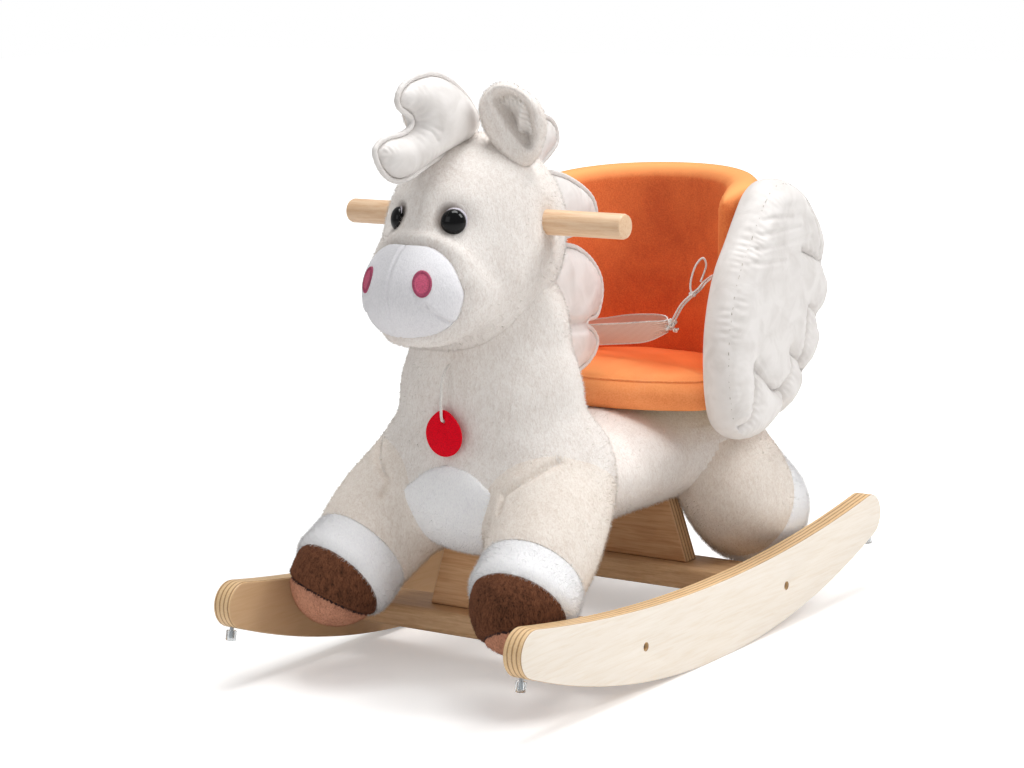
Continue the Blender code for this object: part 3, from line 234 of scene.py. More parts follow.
def stretched(tree, place, scale):
    """Coordinates scaled along each axis."""
    return put(tree, "ShaderNodeMapping", {"Vector": place, "Scale": scale}).outputs[0]


def finished(tree, skin, tone, bumps=(), **look):
    """Give a skin its colour, its constant settings and its bumps, the finest first, each as
    (height, strength, depth in mm)."""
    tree.links.new(tone, skin.inputs["Base Color"])
    for key, value in look.items():
        skin.inputs[LOOK[key]].default_value = value
    below = {}
    for height, strength, depth_mm in bumps:
        bump = put(tree, "ShaderNodeBump", {"Height": height, "Strength": strength,
                                            "Distance": depth_mm / 1000, **below})
        below = {"Normal": bump.outputs[0]}
    if below:
        tree.links.new(below["Normal"], skin.inputs["Normal"])


def plush(name, light, dark, pile_mm=2.4, sheen=0.35, depth=0.5):
    """Knitted polyester plush: matt, the pile lies downwards in small tufts with darker gaps."""
    new, tree, skin, place = shader(name)
    combed = stretched(tree, place, (1.0, 1.0, 0.42))
    tufts = spots(tree, combed, pile_mm, 3.0, 0.6, 0.8)
    cloud = spots(tree, place, 28, 3.0)
    fine = spots(tree, combed, 0.9, 2.0)
    shade = compute(tree, "MULTIPLY", compute(tree, "MULTIPLY_ADD", cloud, 0.5, tufts), 0.667)
    tone = blend_colours(tree, 0.4, ramp(tree, shade, [(0.34, dark), (0.58, light)]),
                         ramp(tree, fine, [(0.34, dark), (0.56, light)]))
    finished(tree, skin, tone, [(fine, 0.5 * depth, 0.4), (tufts, depth, 1.2)], rough=0.95,
             shine=0.12, sheen=sheen, sheen_rough=0.5, sheen_tint=rgba(light))
    return new


def satin(name, light, dark, wrinkle=0.5):
    """Down-proof cotton satin: close weave, a soft shine and small creases from the stuffing."""
    new, tree, skin, place = shader(name)
    creases = spots(tree, place, 22, 3.0, 0.5, 0.8)
    weave = spots(tree, place, 0.9, 1.0)
    finished(tree, skin, ramp(tree, creases, [(0.25, dark), (0.6, light)]),
             [(weave, 0.25, 0.2), (creases, wrinkle, 2.0)], rough=0.5, shine=0.4, sheen=0.2,
             sheen_rough=0.4)
    return new


def velvet(name, light, mid, dark, painted_light_colour, lift, painted_back_shade=None):
    """Cotton velvet: deep where it faces the eye. Faces that look up are mixed towards a paler
    colour, which is painted light from above; where a back colour is given, the back of the seat is
    mixed towards it, which is painted shade."""
    new, tree, skin, place = shader(name)
    brushed = spots(tree, place, 80, 4.0, 0.55, 0.4)
    nap = spots(tree, place, 1.4, 2.0)
    tone = ramp(tree, compute(tree, "MULTIPLY_ADD", nap, 0.45, brushed),
                [(0.48, dark), (0.72, mid), (0.94, light)])
    # Painted light: upward faces go towards the paler colour, by the z of their normal.
    painted_top_light = between(tree, split(tree, coordinates(tree, "Normal"))[2], 0.10, 0.85, 0.0, lift)
    # Painted shade and painted orange bounce light from the backrest: the back of the seat goes
    # towards the deeper orange.
    if painted_back_shade:
        wander = spots(tree, place, 60, 2.0)
        depth = compute(tree, "MULTIPLY_ADD", wander, 0.10, split(tree, place)[1])
        painted_light_colour = blend_colours(tree, between(tree, depth, 0.095, 0.165), painted_light_colour, painted_back_shade)
    finished(tree, skin, blend_colours(tree, painted_top_light, tone, painted_light_colour),
             [(nap, 0.45, 0.5), (brushed, 0.3, 1.6)], rough=0.8, shine=0.2, sheen=0.6,
             sheen_rough=0.4, sheen_tint=rgba("FFA866"))
    return new


def grain(tree, place, stretch, ring_mm):
    """Long wood grain: noise drawn out along one axis; stretch is the Mapping scale."""
    return spots(tree, stretched(tree, place, stretch), ring_mm, 5.0, 0.6, 0.5)


def along_axis(axis, scale):
    """Mapping scale that draws a pattern out along one axis."""
    return [scale if i == axis else 1.0 for i in range(3)]


def plywood(name, sheet_axis, grain_axis, light="F5ECE0", mid="F0E5D6", dark="E9D9C3",
            edge_light="F1DFC2", edge_dark="C4935A", inner=None):
    """Birch plywood, sanded and satin varnished: pale even faces, edges of light and dark plies.
    inner is a browner colour multiplied onto the faces that look at the middle of the toy, as
    painted shade from under the toy."""
    new, tree, skin, place = shader(name)
    drawn = along_axis(grain_axis, 0.06)
    broad = ramp(tree, grain(tree, place, [s * 0.35 for s in drawn], 3.0),
                 [(0.35, mid), (0.60, light)])
    lines = ramp(tree, grain(tree, place, drawn, 2.2), [(0.30, dark), (0.46, mid), (0.60, light)])
    face = blend_colours(tree, 0.55, broad, lines)
    across = split(tree, place)[sheet_axis]
    layer = compute(tree, "MULTIPLY", across, 1000 / PLY_MM)
    wavy = compute(tree, "MULTIPLY_ADD", grain(tree, place, (0.3, 0.3, 0.3), 9.0), 0.5, layer)
    plies = ramp(tree, compute(tree, "FRACT", wavy),
                 [(0.0, edge_light), (0.36, edge_light), (0.46, edge_dark), (0.66, edge_dark),
                  (0.76, "E4BE88"), (1.0, edge_light)])
    speckle = grain(tree, place, drawn, 0.9)
    plies = blend_colours(tree, 0.25, plies,
                          ramp(tree, speckle, [(0.3, "C79A63"), (0.6, "F4DFBE")]))
    facing = split(tree, coordinates(tree, "Normal"))[sheet_axis]
    # Painted shade: faces that look at the middle of the toy are darkened by the inner colour.
    if inner:
        within = compute(tree, "LESS_THAN", compute(tree, "MULTIPLY", facing, across), -0.05)
        face = blend_colours(tree, within, face, blend_colours(tree, 1.0, face, inner, "MULTIPLY"))
    on_face = between(tree, compute(tree, "ABSOLUTE", facing), 0.60, 0.80)
    finished(tree, skin, blend_colours(tree, on_face, plies, face), [(speckle, 0.12, 0.3)],
             rough=0.45, shine=0.4)
    return new


def timber(name, axis, light, dark, ring_mm, roughness=0.45):
    """Solid beech or birch, turned or planed and satin varnished: fine drawn-out grain."""
    new, tree, skin, place = shader(name)
    stretch = along_axis(axis, 0.07)
    lines = ramp(tree, grain(tree, place, stretch, ring_mm), [(0.34, dark), (0.62, light)])
    flecks = grain(tree, place, [s * 2 for s in stretch], ring_mm / 3)
    tone = blend_colours(tree, 0.3, lines, ramp(tree, flecks, [(0.35, dark), (0.55, light)]))
    finished(tree, skin, tone, [(flecks, 0.12, 0.3)], rough=roughness)
    return new


def plain(name, code, roughness, speckle=0.0, bump_mm=0.0, spot_mm=1.0, **look):
    """Even material with a slight mottle and, where asked, a fine tooth."""
    new, tree, skin, place = shader(name)
    mottle = spots(tree, place, spot_mm, 2.0)
    deep = "".join(f"{int(int(code[i:i + 2], 16) * (1 - speckle * 3)):02X}" for i in (0, 2, 4))
    finished(tree, skin, ramp(tree, mottle, [(0.35, deep), (0.6, code)]),
             [(mottle, 0.6, bump_mm)] if bump_mm else (), rough=roughness, **look)
    return new


def elastic(name, light, dark, line_mm):
    """Sheer woven elastic: fine lines along the band; its warm pinkish colour is painted orange
    light from the seat, shining through and reflected.
    """
    new, tree, skin, place = shader(name)
    lines = put(tree, "ShaderNodeTexWave", {"Vector": place, "Scale": 314.16 / line_mm,
                                            "Distortion": 1.2, "Detail": 2.0},
                wave_type="BANDS", bands_direction="Z").outputs["Fac"]
    finished(tree, skin, ramp(tree, lines, [(0.1, dark), (0.7, light)]), [(lines, 0.4, 0.2)],
             rough=0.6, sheen=0.2)
    return new


PLY_MM = 4.5
CREAM = plush("cream_polyester_plush", "F4EFEA", "DACFC7")
LEG_CREAM = plush("cream_leg_plush", "F4ECE3", "DBCCBF")
WHITE = plush("white_short_plush", "FFFFFF", "EEEDF1", 1.8, 0.6)
VELOUR = plush("white_muzzle_velour", "EDECEF", "DCDBDF", 1.4, 0.4, 0.4)
BROWN = plush("dark_brown_plush", "754A34", "1C0D07", 2.8, 0.45, 1.0)
SOLE = plush("light_brown_plush", "CB9277", "82533F", 2.4, 0.6, 0.7)
SATIN = satin("white_cotton_satin", "E9E5E2", "DAD5D1", 0.22)
LINING = satin("white_cotton_lining", "F4F0EC", "DDD5CD")
# Each velvet's paler colour and its share are painted light on upward faces; the seat's last colour
# is painted shade at the back of the seat.
VELVET = velvet("orange_cotton_velvet", "F58A4C", "E67641", "CE6236", "FFAC6A", 1.0)
SEAT_VELVET = velvet("pale_orange_velvet", "FFB684", "FFA468", "EE8C50", "FFAA68", 0.85, "F8753A")
# The rockers' inner colour is painted shade on the faces under the toy.
ROCKER_PLY = plywood("birch_plywood_rocker", 0, 1, edge_light="E3C08F", edge_dark="93602F",
                     inner="DDBE9B")
# The uprights' and rails' brown tones, darker than the rockers' birch, are painted shade of the
# shadow under the seat; their grain is the wood's own.
UPRIGHT_PLY = plywood("birch_plywood_upright", 1, 0, "D9AE82", "C7966A", "A97548", "E3C298",
                      "8F5B33")
INNER_PLY = plywood("sanded_plywood", 2, 1, "E3D0AE", "D6C09A", "C4AA80")
RAIL_WOOD = timber("birch_rail", 0, "D9B389", "B68A60", 3.0)
BEECH = timber("varnished_beech", 0, "EDCDAB", "DBB087", 2.2, 0.38)
STEEL = plain("zinc_plated_steel", "B9BCC0", 0.35, 0.03, 0.02, 0.5, metal=1.0)
PINK = plain("pink_embroidery_thread", "D95D80", 0.55, 0.06, 0.3, 0.8)
RIM_PINK = plain("dark_pink_embroidery_thread", "B8486C", 0.55, 0.08, 0.3, 0.6)
FELT = plain("grey_white_felt", "D9D4DE", 0.9, 0.04, 0.4, 0.6)
EYE = plain("black_acrylic", "060607", 0.06, shine=0.28)
# The elastic's pinkish colours are painted orange light from the seat.
ELASTIC = elastic("woven_elastic", "EBCEC0", "D3A792", 1.1)
COTTON = plain("white_cotton_cord", "F1EDE8", 0.8, 0.05, 0.4, 0.5)
RED = plain("red_felt_tag", "F20022", 0.65, 0.05, 0.2, 0.6, shine=0.1)
SEAM = plain("sewing_thread", "CBC3BB", 0.8, 0.05)
# Dark brown band at the hoof's sole seam: partly the seam's thread, partly painted shade in its
# crease.
SEAM_THREAD_AND_SHADE = plain("brown_thread_and_painted_crease_shade", "2C1712", 0.9, 0.05)
CLEAR = plain("clear_acrylic", "E8ECEE", 0.08, clear=0.95)


# Wooden base

ROCKER_X = 0.150
BOARD = 0.018
ROCKER_LENGTH = 0.593
ROCKER_DEPTH = 0.068
SWEEP_RADIUS = 0.786
TOP_RADIUS = 1.600
FOOT_FLAT = 0.044
RAIL_Y = 0.117
RAIL_TOP = 0.0495
RAIL_HEIGHT = 0.021
RAIL_DEPTH = 0.054
BOLT_Z = RAIL_TOP - RAIL_HEIGHT / 2
SCREW_X = 0.028
STOP_Y = 0.284
STOP_LEAN = 0.20
BAR_Y = -0.111
BAR_Z = 0.389
BAR_HALF = 0.1425


def rocker_side():
    """Side view of a rocker as (y, z): swept underside, round ends and hollow top."""
    top_centre = ROCKER_DEPTH + TOP_RADIUS
    low, high = 0.004, ROCKER_DEPTH / 2
    for _ in range(50):
        radius = (low + high) / 2
        inner = SWEEP_RADIUS - radius
        outer = TOP_RADIUS + radius
        height = (outer ** 2 - inner ** 2 - top_centre ** 2 + SWEEP_RADIUS ** 2)
        height /= 2 * (SWEEP_RADIUS - top_centre)
        reach = math.sqrt(max(inner ** 2 - (height - SWEEP_RADIUS) ** 2, 0))
        if reach + radius > ROCKER_LENGTH / 2:
            low = radius
        else:
            high = radius
    under_end = math.atan2(reach, SWEEP_RADIUS - height)
    top_end = math.atan2(reach, top_centre - height)
    start = math.asin(FOOT_FLAT / 2 / SWEEP_RADIUS)
    lift = SWEEP_RADIUS * (1 - math.cos(start))
    half = []
    for k in range(41):
        angle = start + (under_end - start) * k / 40
        half.append((SWEEP_RADIUS * math.sin(angle), SWEEP_RADIUS * (1 - math.cos(angle)) - lift))
    turn_from = under_end - math.pi / 2
    turn_to = math.pi / 2 + top_end
    for k in range(1, 20):
        angle = turn_from + (turn_to - turn_from) * k / 20
        half.append((reach + radius * math.cos(angle), height + radius * math.sin(angle) - lift))
    for k in range(41):
        angle = top_end * (1 - k / 40)
        half.append((TOP_RADIUS * math.sin(angle),
                     top_centre - TOP_RADIUS * math.cos(angle) - lift))
    return half + [(-y, z) for y, z in reversed(half) if y > 1e-9]


def rocker(label, side):
    """Rocker sawn from 18 mm board, bored for its bolts, with rounded edges."""
    outline = rocker_side()
    piece = primitive(f"rocker_board_{label}", bpy.ops.mesh.primitive_circle_add,
                      vertices=len(outline), radius=0.3, fill_type="NGON")
    for vertex, (y, z) in zip(piece.data.vertices, outline):
        vertex.co = (side * ROCKER_X - BOARD / 2, y, z)
    edited(piece, bpy.ops.mesh.extrude_region_move, TRANSFORM_OT_translate={"value": (BOARD, 0, 0)})
    edited(piece, bpy.ops.mesh.normals_make_consistent, inside=False)
    face = side * (ROCKER_X + BOARD / 2)
    for y in (-RAIL_Y, RAIL_Y):
        bore(piece, dowel("sink", (face + side * 0.002, y, BOLT_Z),
                          (face - side * 0.0085, y, BOLT_Z), 0.0036, 32))
    round_edges(piece, 0.0018)
    sand(piece)
    return mounted(piece, "base", ROCKER_PLY, [f"rocker_{label}"])


def rail(where, y):
    """Planed rail with rounded long edges and countersunk screw holes below."""
    half = ROCKER_X - BOARD / 2 - 0.0003
    piece = settle(primitive(f"{where}_cross_rail", bpy.ops.mesh.primitive_cube_add, size=1,
                             location=(0, y, BOLT_Z), scale=(2 * half, RAIL_DEPTH, RAIL_HEIGHT)))
    edited(piece, bpy.ops.mesh.select_all, action="DESELECT")
    for edge in piece.data.edges:
        one, two = (piece.data.vertices[i].co for i in edge.vertices)
        edge.select = abs(one.x - two.x) > 0.1
    bpy.ops.object.mode_set(mode="EDIT")
    bpy.ops.mesh.select_mode(type="EDGE")
    bpy.ops.mesh.bevel(offset=0.006, segments=6, affect="EDGES")
    bpy.ops.object.mode_set(mode="OBJECT")
    under = BOLT_Z - RAIL_HEIGHT / 2
    for side in (-1, 1):
        x = side * SCREW_X
        bore(piece, dowel("sink", (x, y, under - 0.002), (x, y, under + 0.004), 0.0053, 32))
    sand(piece)
    return mounted(piece, "base", RAIL_WOOD, [f"{where}_rail"])


def stop(where, label, side, end):
    """Clear acrylic stop under a rocker's end, on a steel pin."""
    y = end * STOP_Y
    down = Vector((0, end * math.sin(STOP_LEAN), -math.cos(STOP_LEAN)))
    start = math.asin(FOOT_FLAT / 2 / SWEEP_RADIUS)
    under = SWEEP_RADIUS * (math.cos(start) - math.sqrt(1 - (y / SWEEP_RADIUS) ** 2))
    seat = Vector((side * ROCKER_X, y, under))
    piece = dowel(f"acrylic_stop_{where}_{label}", seat + down * 0.0022, seat + down * 0.0112,
                  0.0044)
    round_edges(piece, 0.0008, 2)
    bore(piece, dowel("core", seat - down * 0.002, seat + down * 0.009, 0.0020, 24))
    sand(piece)
    mounted(piece, "base", CLEAR, [f"rocker_stop_{where}_{label}"])
    pin = dowel(f"stop_pin_{where}_{label}", seat - down * 0.012, seat + down * 0.0088, 0.0017, 24)
    return mounted(sand(pin), "base", STEEL)


def handle():
    """Turned beech bar through the head, its ends chamfered."""
    piece = dowel("beech_handle", (-BAR_HALF, BAR_Y, BAR_Z), (BAR_HALF, BAR_Y, BAR_Z), 0.0106, 64)
    round_edges(piece, 0.0028, 2)
    sand(piece, 25)
    return mounted(piece, "base", BEECH, ["handle_bar"])


# Stuffed forms

def part(value, full):
    """A value as a share of its full size, held between 0 and 1."""
    return np.clip(value / full, 0, 1)


def fade(distance, width):
    """1 at no distance, dying away over a width."""
    return np.exp(-(distance / width) ** 2)


def dome(away, width):
    """Rise of a rounded edge: 0 at the rim, 1 from its width inwards."""
    return 1 - (1 - part(away, width)) ** 2


def unit(vectors):
    """Vectors brought to length 1."""
    return vectors / np.maximum(np.linalg.norm(vectors, axis=-1, keepdims=True), 1e-12)


def ellipsoid_distance(points, centre, radii):
    """Distance from an ellipsoid, near its surface; less than 0 inside."""
    local = (points - np.asarray(centre)) / np.asarray(radii)
    size = np.linalg.norm(local, axis=-1)
    slope = np.linalg.norm(local / np.asarray(radii), axis=-1)
    return size * (size - 1) / np.maximum(slope, 1e-9)


def skin_distance(points, lobes, blend):
    """Distance to the smooth union of stuffed lobes: (centre, radii) pairs, or whole forms given
    as (lobes, blend, sink)."""
    distances = np.stack([skin_distance(points, *lobe[:2]) + lobe[2] if len(lobe) == 3
                          else ellipsoid_distance(points, *lobe) for lobe in lobes])
    low = distances.min(axis=0)
    return low - blend * np.log(np.exp(-(distances - low) / blend).sum(axis=0))


def skin_normal(points, lobes, blend):
    """Which way the skin of stuffed lobes faces."""
    return unit(np.stack([skin_distance(points + step, lobes, blend)
                          - skin_distance(points - step, lobes, blend)
                          for step in np.eye(3) * 1e-4], axis=-1))


def onto_skin(starts, ways, lobes, blend, reach=0.4, steps=1):
    """Where rays from inside the lobes first leave their skin."""
    low = np.zeros(len(starts))
    held = np.ones(len(starts), bool)
    for k in range(1, steps):
        held &= skin_distance(starts + ways * (reach * k / steps), lobes, blend) < 0
        low = np.where(held, reach * k / steps, low)
    high = low + reach / steps
    for _ in range(30):
        middle = (low + high) / 2
        outside = skin_distance(starts + ways * middle[:, None], lobes, blend) > 0
        high = np.where(outside, middle, high)
        low = np.where(outside, low, middle)
    return starts + ways * low[:, None]


def lumps(points, size_mm, seed):
    """Soft unevenness of a stuffed form, about -1 to 1."""
    shift = Vector((seed * 7.31, seed * 3.17, seed * 5.93))
    scale = 1000 / size_mm
    return np.array([noise.noise(Vector(p) * scale + shift) for p in points])


def bump_at(points, centre, radius):
    """Smooth hill of height 1 around a place."""
    return fade(np.linalg.norm(points - np.asarray(centre), axis=-1), radius)


def stuffed(name, centre, lobes, blend=0.006, detail=6, shape=None, seed=1, uneven=0.0009,
            reach=0.4, steps=1):
    """Sewn and stuffed form: a ball drawn out onto its lobes, then worked."""
    piece = primitive(name, bpy.ops.mesh.primitive_ico_sphere_add, subdivisions=detail, radius=1)
    ways = np.empty(len(piece.data.vertices) * 3)
    piece.data.vertices.foreach_get("co", ways)
    ways = unit(ways.reshape(-1, 3))
    points = onto_skin(np.asarray(centre) + ways * 0, ways, lobes, blend, reach, steps)
    push = lumps(points, 45, seed) * uneven + lumps(points, 14, seed + 1) * uneven * 0.35
    if shape is not None:
        push = push + shape(points)
    points = points + skin_normal(points, lobes, blend) * push[:, None]
    piece.data.vertices.foreach_set("co", points.ravel())
    piece.data.update()
    bpy.ops.object.shade_smooth()
    return piece


def trim(piece, point, normal, tuck=0.0015):
    """Cut a form at a seam plane, keeping the side that the normal points away from."""
    edited(piece, bpy.ops.mesh.bisect, plane_co=point, plane_no=normal, clear_outer=True,
           use_fill=True)
    normal = np.asarray(normal, float) / np.linalg.norm(normal)
    points = np.array([v.co for v in piece.data.vertices])
    depth = -(points - np.asarray(point)) @ normal
    middle = points[depth < 1e-4].mean(axis=0) if (depth < 1e-4).any() else points.mean(axis=0)
    inward = middle - points
    inward -= np.outer(inward @ normal, normal)
    inward /= np.maximum(np.linalg.norm(inward, axis=1, keepdims=True), 1e-6)
    points += inward * (tuck * fade(depth, 0.004))[:, None]
    piece.data.vertices.foreach_set("co", points.ravel())
    piece.data.update()
    return piece


BLADE = 0.0003


def pile(name, host, count, length, width, comb, seed, hidden=()):
    """Raised pile of a plush piece: fine blades that stand in the fabric and lean with the nap."""
    rng = np.random.default_rng(seed)
    mesh = host.data
    mesh.calc_loop_triangles()
    places = np.array([v.co for v in mesh.vertices])
    turned = np.array([v.normal for v in mesh.vertices])
    ids = np.array([t.vertices for t in mesh.loop_triangles])
    finish = np.array([mesh.polygons[t.polygon_index].material_index for t in mesh.loop_triangles])
    corners = places[ids]
    first, second, third = corners[:, 0], corners[:, 1], corners[:, 2]
    size = np.linalg.norm(np.cross(second - first, third - first), axis=1) / 2
    shown = np.linalg.norm(corners - np.roll(corners, 1, axis=1), axis=2).max(axis=1) < 0.012
    for lobes, blend in hidden:
        shown &= skin_distance(corners.mean(axis=1), lobes, blend) > -0.003
    size = size * shown
    pick = rng.choice(len(size), count, p=size / size.sum())
    a = rng.random((count, 2))
    a = np.where(a.sum(axis=1, keepdims=True) > 1, 1 - a, a)
    weights = np.column_stack([1 - a.sum(axis=1), a[:, 0], a[:, 1]])[:, :, None]
    root = (corners[pick] * weights).sum(axis=1)
    up = unit((turned[ids[pick]] * weights).sum(axis=1))
    lean = up * 0.8 + np.asarray(comb) + rng.normal(0, 0.5, (count, 3))
    rise = (lean * up).sum(axis=1, keepdims=True)
    lean = unit(lean + up * np.maximum(0.35 - rise, 0))
    tall = length * rng.uniform(0.5, 1.0, count)
    side = unit(np.cross(lean, up + rng.normal(0, 0.25, (count, 3))))
    base = root - up * 0.0003
    tip = base + lean * tall[:, None]
    half = side * width / 2
    points = np.stack([base - half, base + half, tip], axis=1).reshape(-1, 3)
    grown = bpy.data.meshes.new(name)
    grown.vertices.add(len(points))
    grown.vertices.foreach_set("co", points.ravel())
    grown.loops.add(len(points))
    grown.loops.foreach_set("vertex_index", np.arange(len(points)))
    grown.polygons.add(count)
    grown.polygons.foreach_set("loop_start", np.arange(0, len(points), 3))
    grown.polygons.foreach_set("material_index", finish[pick])
    grown.polygons.foreach_set("use_smooth", np.ones(count, bool))
    grown.update(calc_edges=True)
    soft = np.repeat(unit(up + lean * 0.20), 3, axis=0)
    grown.normals_split_custom_set_from_vertices(soft.tolist())
    for material in mesh.materials:
        grown.materials.append(material)
    piece = placed(name, grown)
    piece.visible_shadow = False
    piece.visible_diffuse = False
    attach(piece, "base")
    return piece


def both_sides(*lobes):
    """Lobes on the left, each with its mirror image."""
    return [((side * x, y, z), radii) for (x, y, z), radii in lobes for side in (1, -1)]


TRUNK = [((0, -0.103, 0.157), (0.086, 0.08, 0.058)), ((0, -0.02, 0.152), (0.08, 0.11, 0.049)),
         ((0, 0.07, 0.15), (0.08, 0.11, 0.047)), ((0, 0.14, 0.156), (0.084, 0.08, 0.052))]
NECK = [((0, -0.112, 0.19), (0.088, 0.0575, 0.06)), ((0, -0.108, 0.24), (0.084, 0.062, 0.07)),
        ((0, -0.106, 0.3), (0.07, 0.056, 0.06)), ((0, -0.075, 0.26), (0.04, 0.05, 0.09))]
SHOULDERS = both_sides(((0.066, -0.108, 0.160), (0.046, 0.046, 0.043)),
                       ((0.060, -0.100, 0.184), (0.046, 0.050, 0.042)),
                       ((0.075, -0.128, 0.150), (0.0435, 0.044, 0.0435)),
                       ((0.084, -0.146, 0.134), (0.041, 0.041, 0.041)))
HAUNCHES = both_sides(((0.068, 0.150, 0.152), (0.046, 0.047, 0.043)))
BODY = TRUNK + NECK + SHOULDERS + HAUNCHES
BODY_BLEND = 0.007
YOKE = 0.1992
HEAD = [((0, -0.122, 0.378), (0.07, 0.084, 0.084)), ((0, -0.15, 0.35), (0.064, 0.07, 0.066)),
        ((0, -0.188, 0.338), (0.054, 0.058, 0.048))]
HEAD_CENTRE = (0, -0.135, 0.362)
HEAD_BLEND = 0.005
HEAD_HILLS = [(-0.0058, (0.034, -0.197, 0.399), 0.0140), (0.0012, (0.040, -0.190, 0.417), 0.0150),
              (-0.0030, (0.0235, -0.199, 0.4050), 0.0075), (-0.0050, (0.070, BAR_Y, BAR_Z), 0.017),
              (0.0022, (0.052, -0.162, 0.335), 0.030)]
MUZZLE = [(0.0, 0.38), (0.0225, 0.3782), (0.04, 0.3655), (0.0497, 0.345), (0.0485, 0.329),
          (0.0415, 0.316), (0.029, 0.3078), (0.014, 0.3046), (0.0, 0.3042)]
LEG_CREASE = [(0.0612, -0.186, 0.157), (0.0595, -0.1773, 0.1685), (0.0668, -0.1745, 0.1747),
              (0.0728, -0.1714, 0.1789), (0.0794, -0.1661, 0.1837), (0.0842, -0.1598, 0.188),
              (0.0897, -0.1517, 0.1921), (0.0935, -0.145, 0.1945)]
FRONT_LEG = [((0.066, -0.112, 0.158), 0.037, 1.0), ((0.077, -0.140, 0.139), 0.0425, 1.0),
             ((0.087, -0.166, 0.117), 0.0445, 1.0), ((0.093, -0.195, 0.092), 0.043, 1.0),
             ((0.095, -0.212, 0.084), 0.040, 1.0)]
REAR_LEG = [((0.068, 0.150, 0.152), 0.041, 1.05), ((0.080, 0.146, 0.131), 0.045, 1.0),
            ((0.086, 0.151, 0.114), 0.047, 1.0), ((0.088, 0.165, 0.099), 0.048, 1.0),
            ((0.088, 0.182, 0.090), 0.0485, 1.0)]


def muzzle_outline():
    """The white cap's seam, seen from the front."""
    return np.array(flat_curve(both_halves(MUZZLE), 160))


def head_work(points):
    """Eye hollows, dimples round the bar, the muzzle's seam and the swell outside it."""
    push = np.zeros(len(points))
    for side in (1, -1):
        for height, (x, y, z), radius in HEAD_HILLS:
            push += height * bump_at(points, (side * x, y, z), radius)
    front = part(-points[:, 1] - 0.150, 0.02)
    ring = muzzle_outline()
    near = line_distance(points[:, [0, 2]], ring, True)
    within = inside(points[:, [0, 2]], ring)
    low = part(0.372 - points[:, 2], 0.03)
    push -= 0.0026 * fade(near, 0.0022) * front
    push += 0.0022 * fade(near - 0.0060, 0.0036) * front * ~within
    push -= 0.0012 * fade(near - 0.0125, 0.0035) * front * ~within * low
    push -= 0.0012 * within * front
    brow = front * (points[:, 2] > 0.39)
    push -= 0.0005 * fade(points[:, 0], 0.0020) * brow
    return push


def leg_crease(points):
    """Crease where each front leg is sewn under the shoulder."""
    near = line_distance(np.column_stack([np.abs(points[:, 0]), points[:, 1:]]), LEG_CREASE)
    return 0.0010 * fade(near - 0.0075, 0.0045) - 0.0036 * fade(near, 0.0026)


def chest_work(points):
    """Seam down the middle of the chest and the creases over the front legs."""
    front = part(-points[:, 1] - 0.10, 0.03)
    return leg_crease(points) - 0.0012 * fade(points[:, 0], 0.0028) * front


def eye_spot(side):
    """Where an eye sits on the head; as photographed, the far one is nearer to the middle."""
    starts = np.array([[0.0310 if side > 0 else -0.0290, HEAD_CENTRE[1], 0.3972]])
    return Vector(onto_skin(starts, np.array([[0.0, -1.0, 0.0]]), HEAD, HEAD_BLEND)[0])


def painted_eye_shade(base, name, tone):
    """Copy of a plush with painted shade: darker at the inner corner of each eye, standing for the
    shadow in the hollow there."""
    new = base.copy()
    new.name = name
    tree = new.node_tree
    colour = tree.nodes["Principled BSDF"].inputs["Base Color"]
    shade = colour.links[0].from_socket
    place = coordinates(tree)
    for side in (1, -1):
        # Painted shade: near each eye's inner corner the plush goes towards the dark brown.
        spot = eye_spot(side) + Vector((-side * 0.0034, -0.0010, 0.0030))
        away = put(tree, "ShaderNodeVectorMath", {0: place, 1: tuple(spot)}, operation="DISTANCE")
        near = between(tree, away.outputs["Value"], 0.0095, 0.0150, 0.72, 0.0)
        shade = blend_colours(tree, near, shade, tone)
    tree.links.new(shade, colour)
    return new


def animal_body():
    """Trunk and neck as one skin in two sewn lengths, and the head."""
    trunk = stuffed("trunk_plush", (0, 0.010, 0.152), BODY, BODY_BLEND, 7, chest_work, seed=3)
    sand(trim(trunk, (0, 0, YOKE), (0, 0, 1), 0.0), 60)
    mounted(trunk, "base", CREAM, ["trunk"])
    neck = stuffed("neck_plush", (0, -0.106, 0.250), NECK + TRUNK[:1] + SHOULDERS, BODY_BLEND, 7,
                   chest_work, seed=3)
    sand(trim(neck, (0, 0, YOKE), (0, 0, -1), 0.0), 60)
    mounted(neck, "base", CREAM, ["neck"])
    head = stuffed("head_plush", HEAD_CENTRE, HEAD, HEAD_BLEND, 7, head_work, seed=8)
    # The head's plush carries painted shade round the eyes.
    mounted(head, "base", painted_eye_shade(CREAM, "cream_head_plush_painted_eye_shade", "5E473A"), ["head"])
    return trunk, neck, head


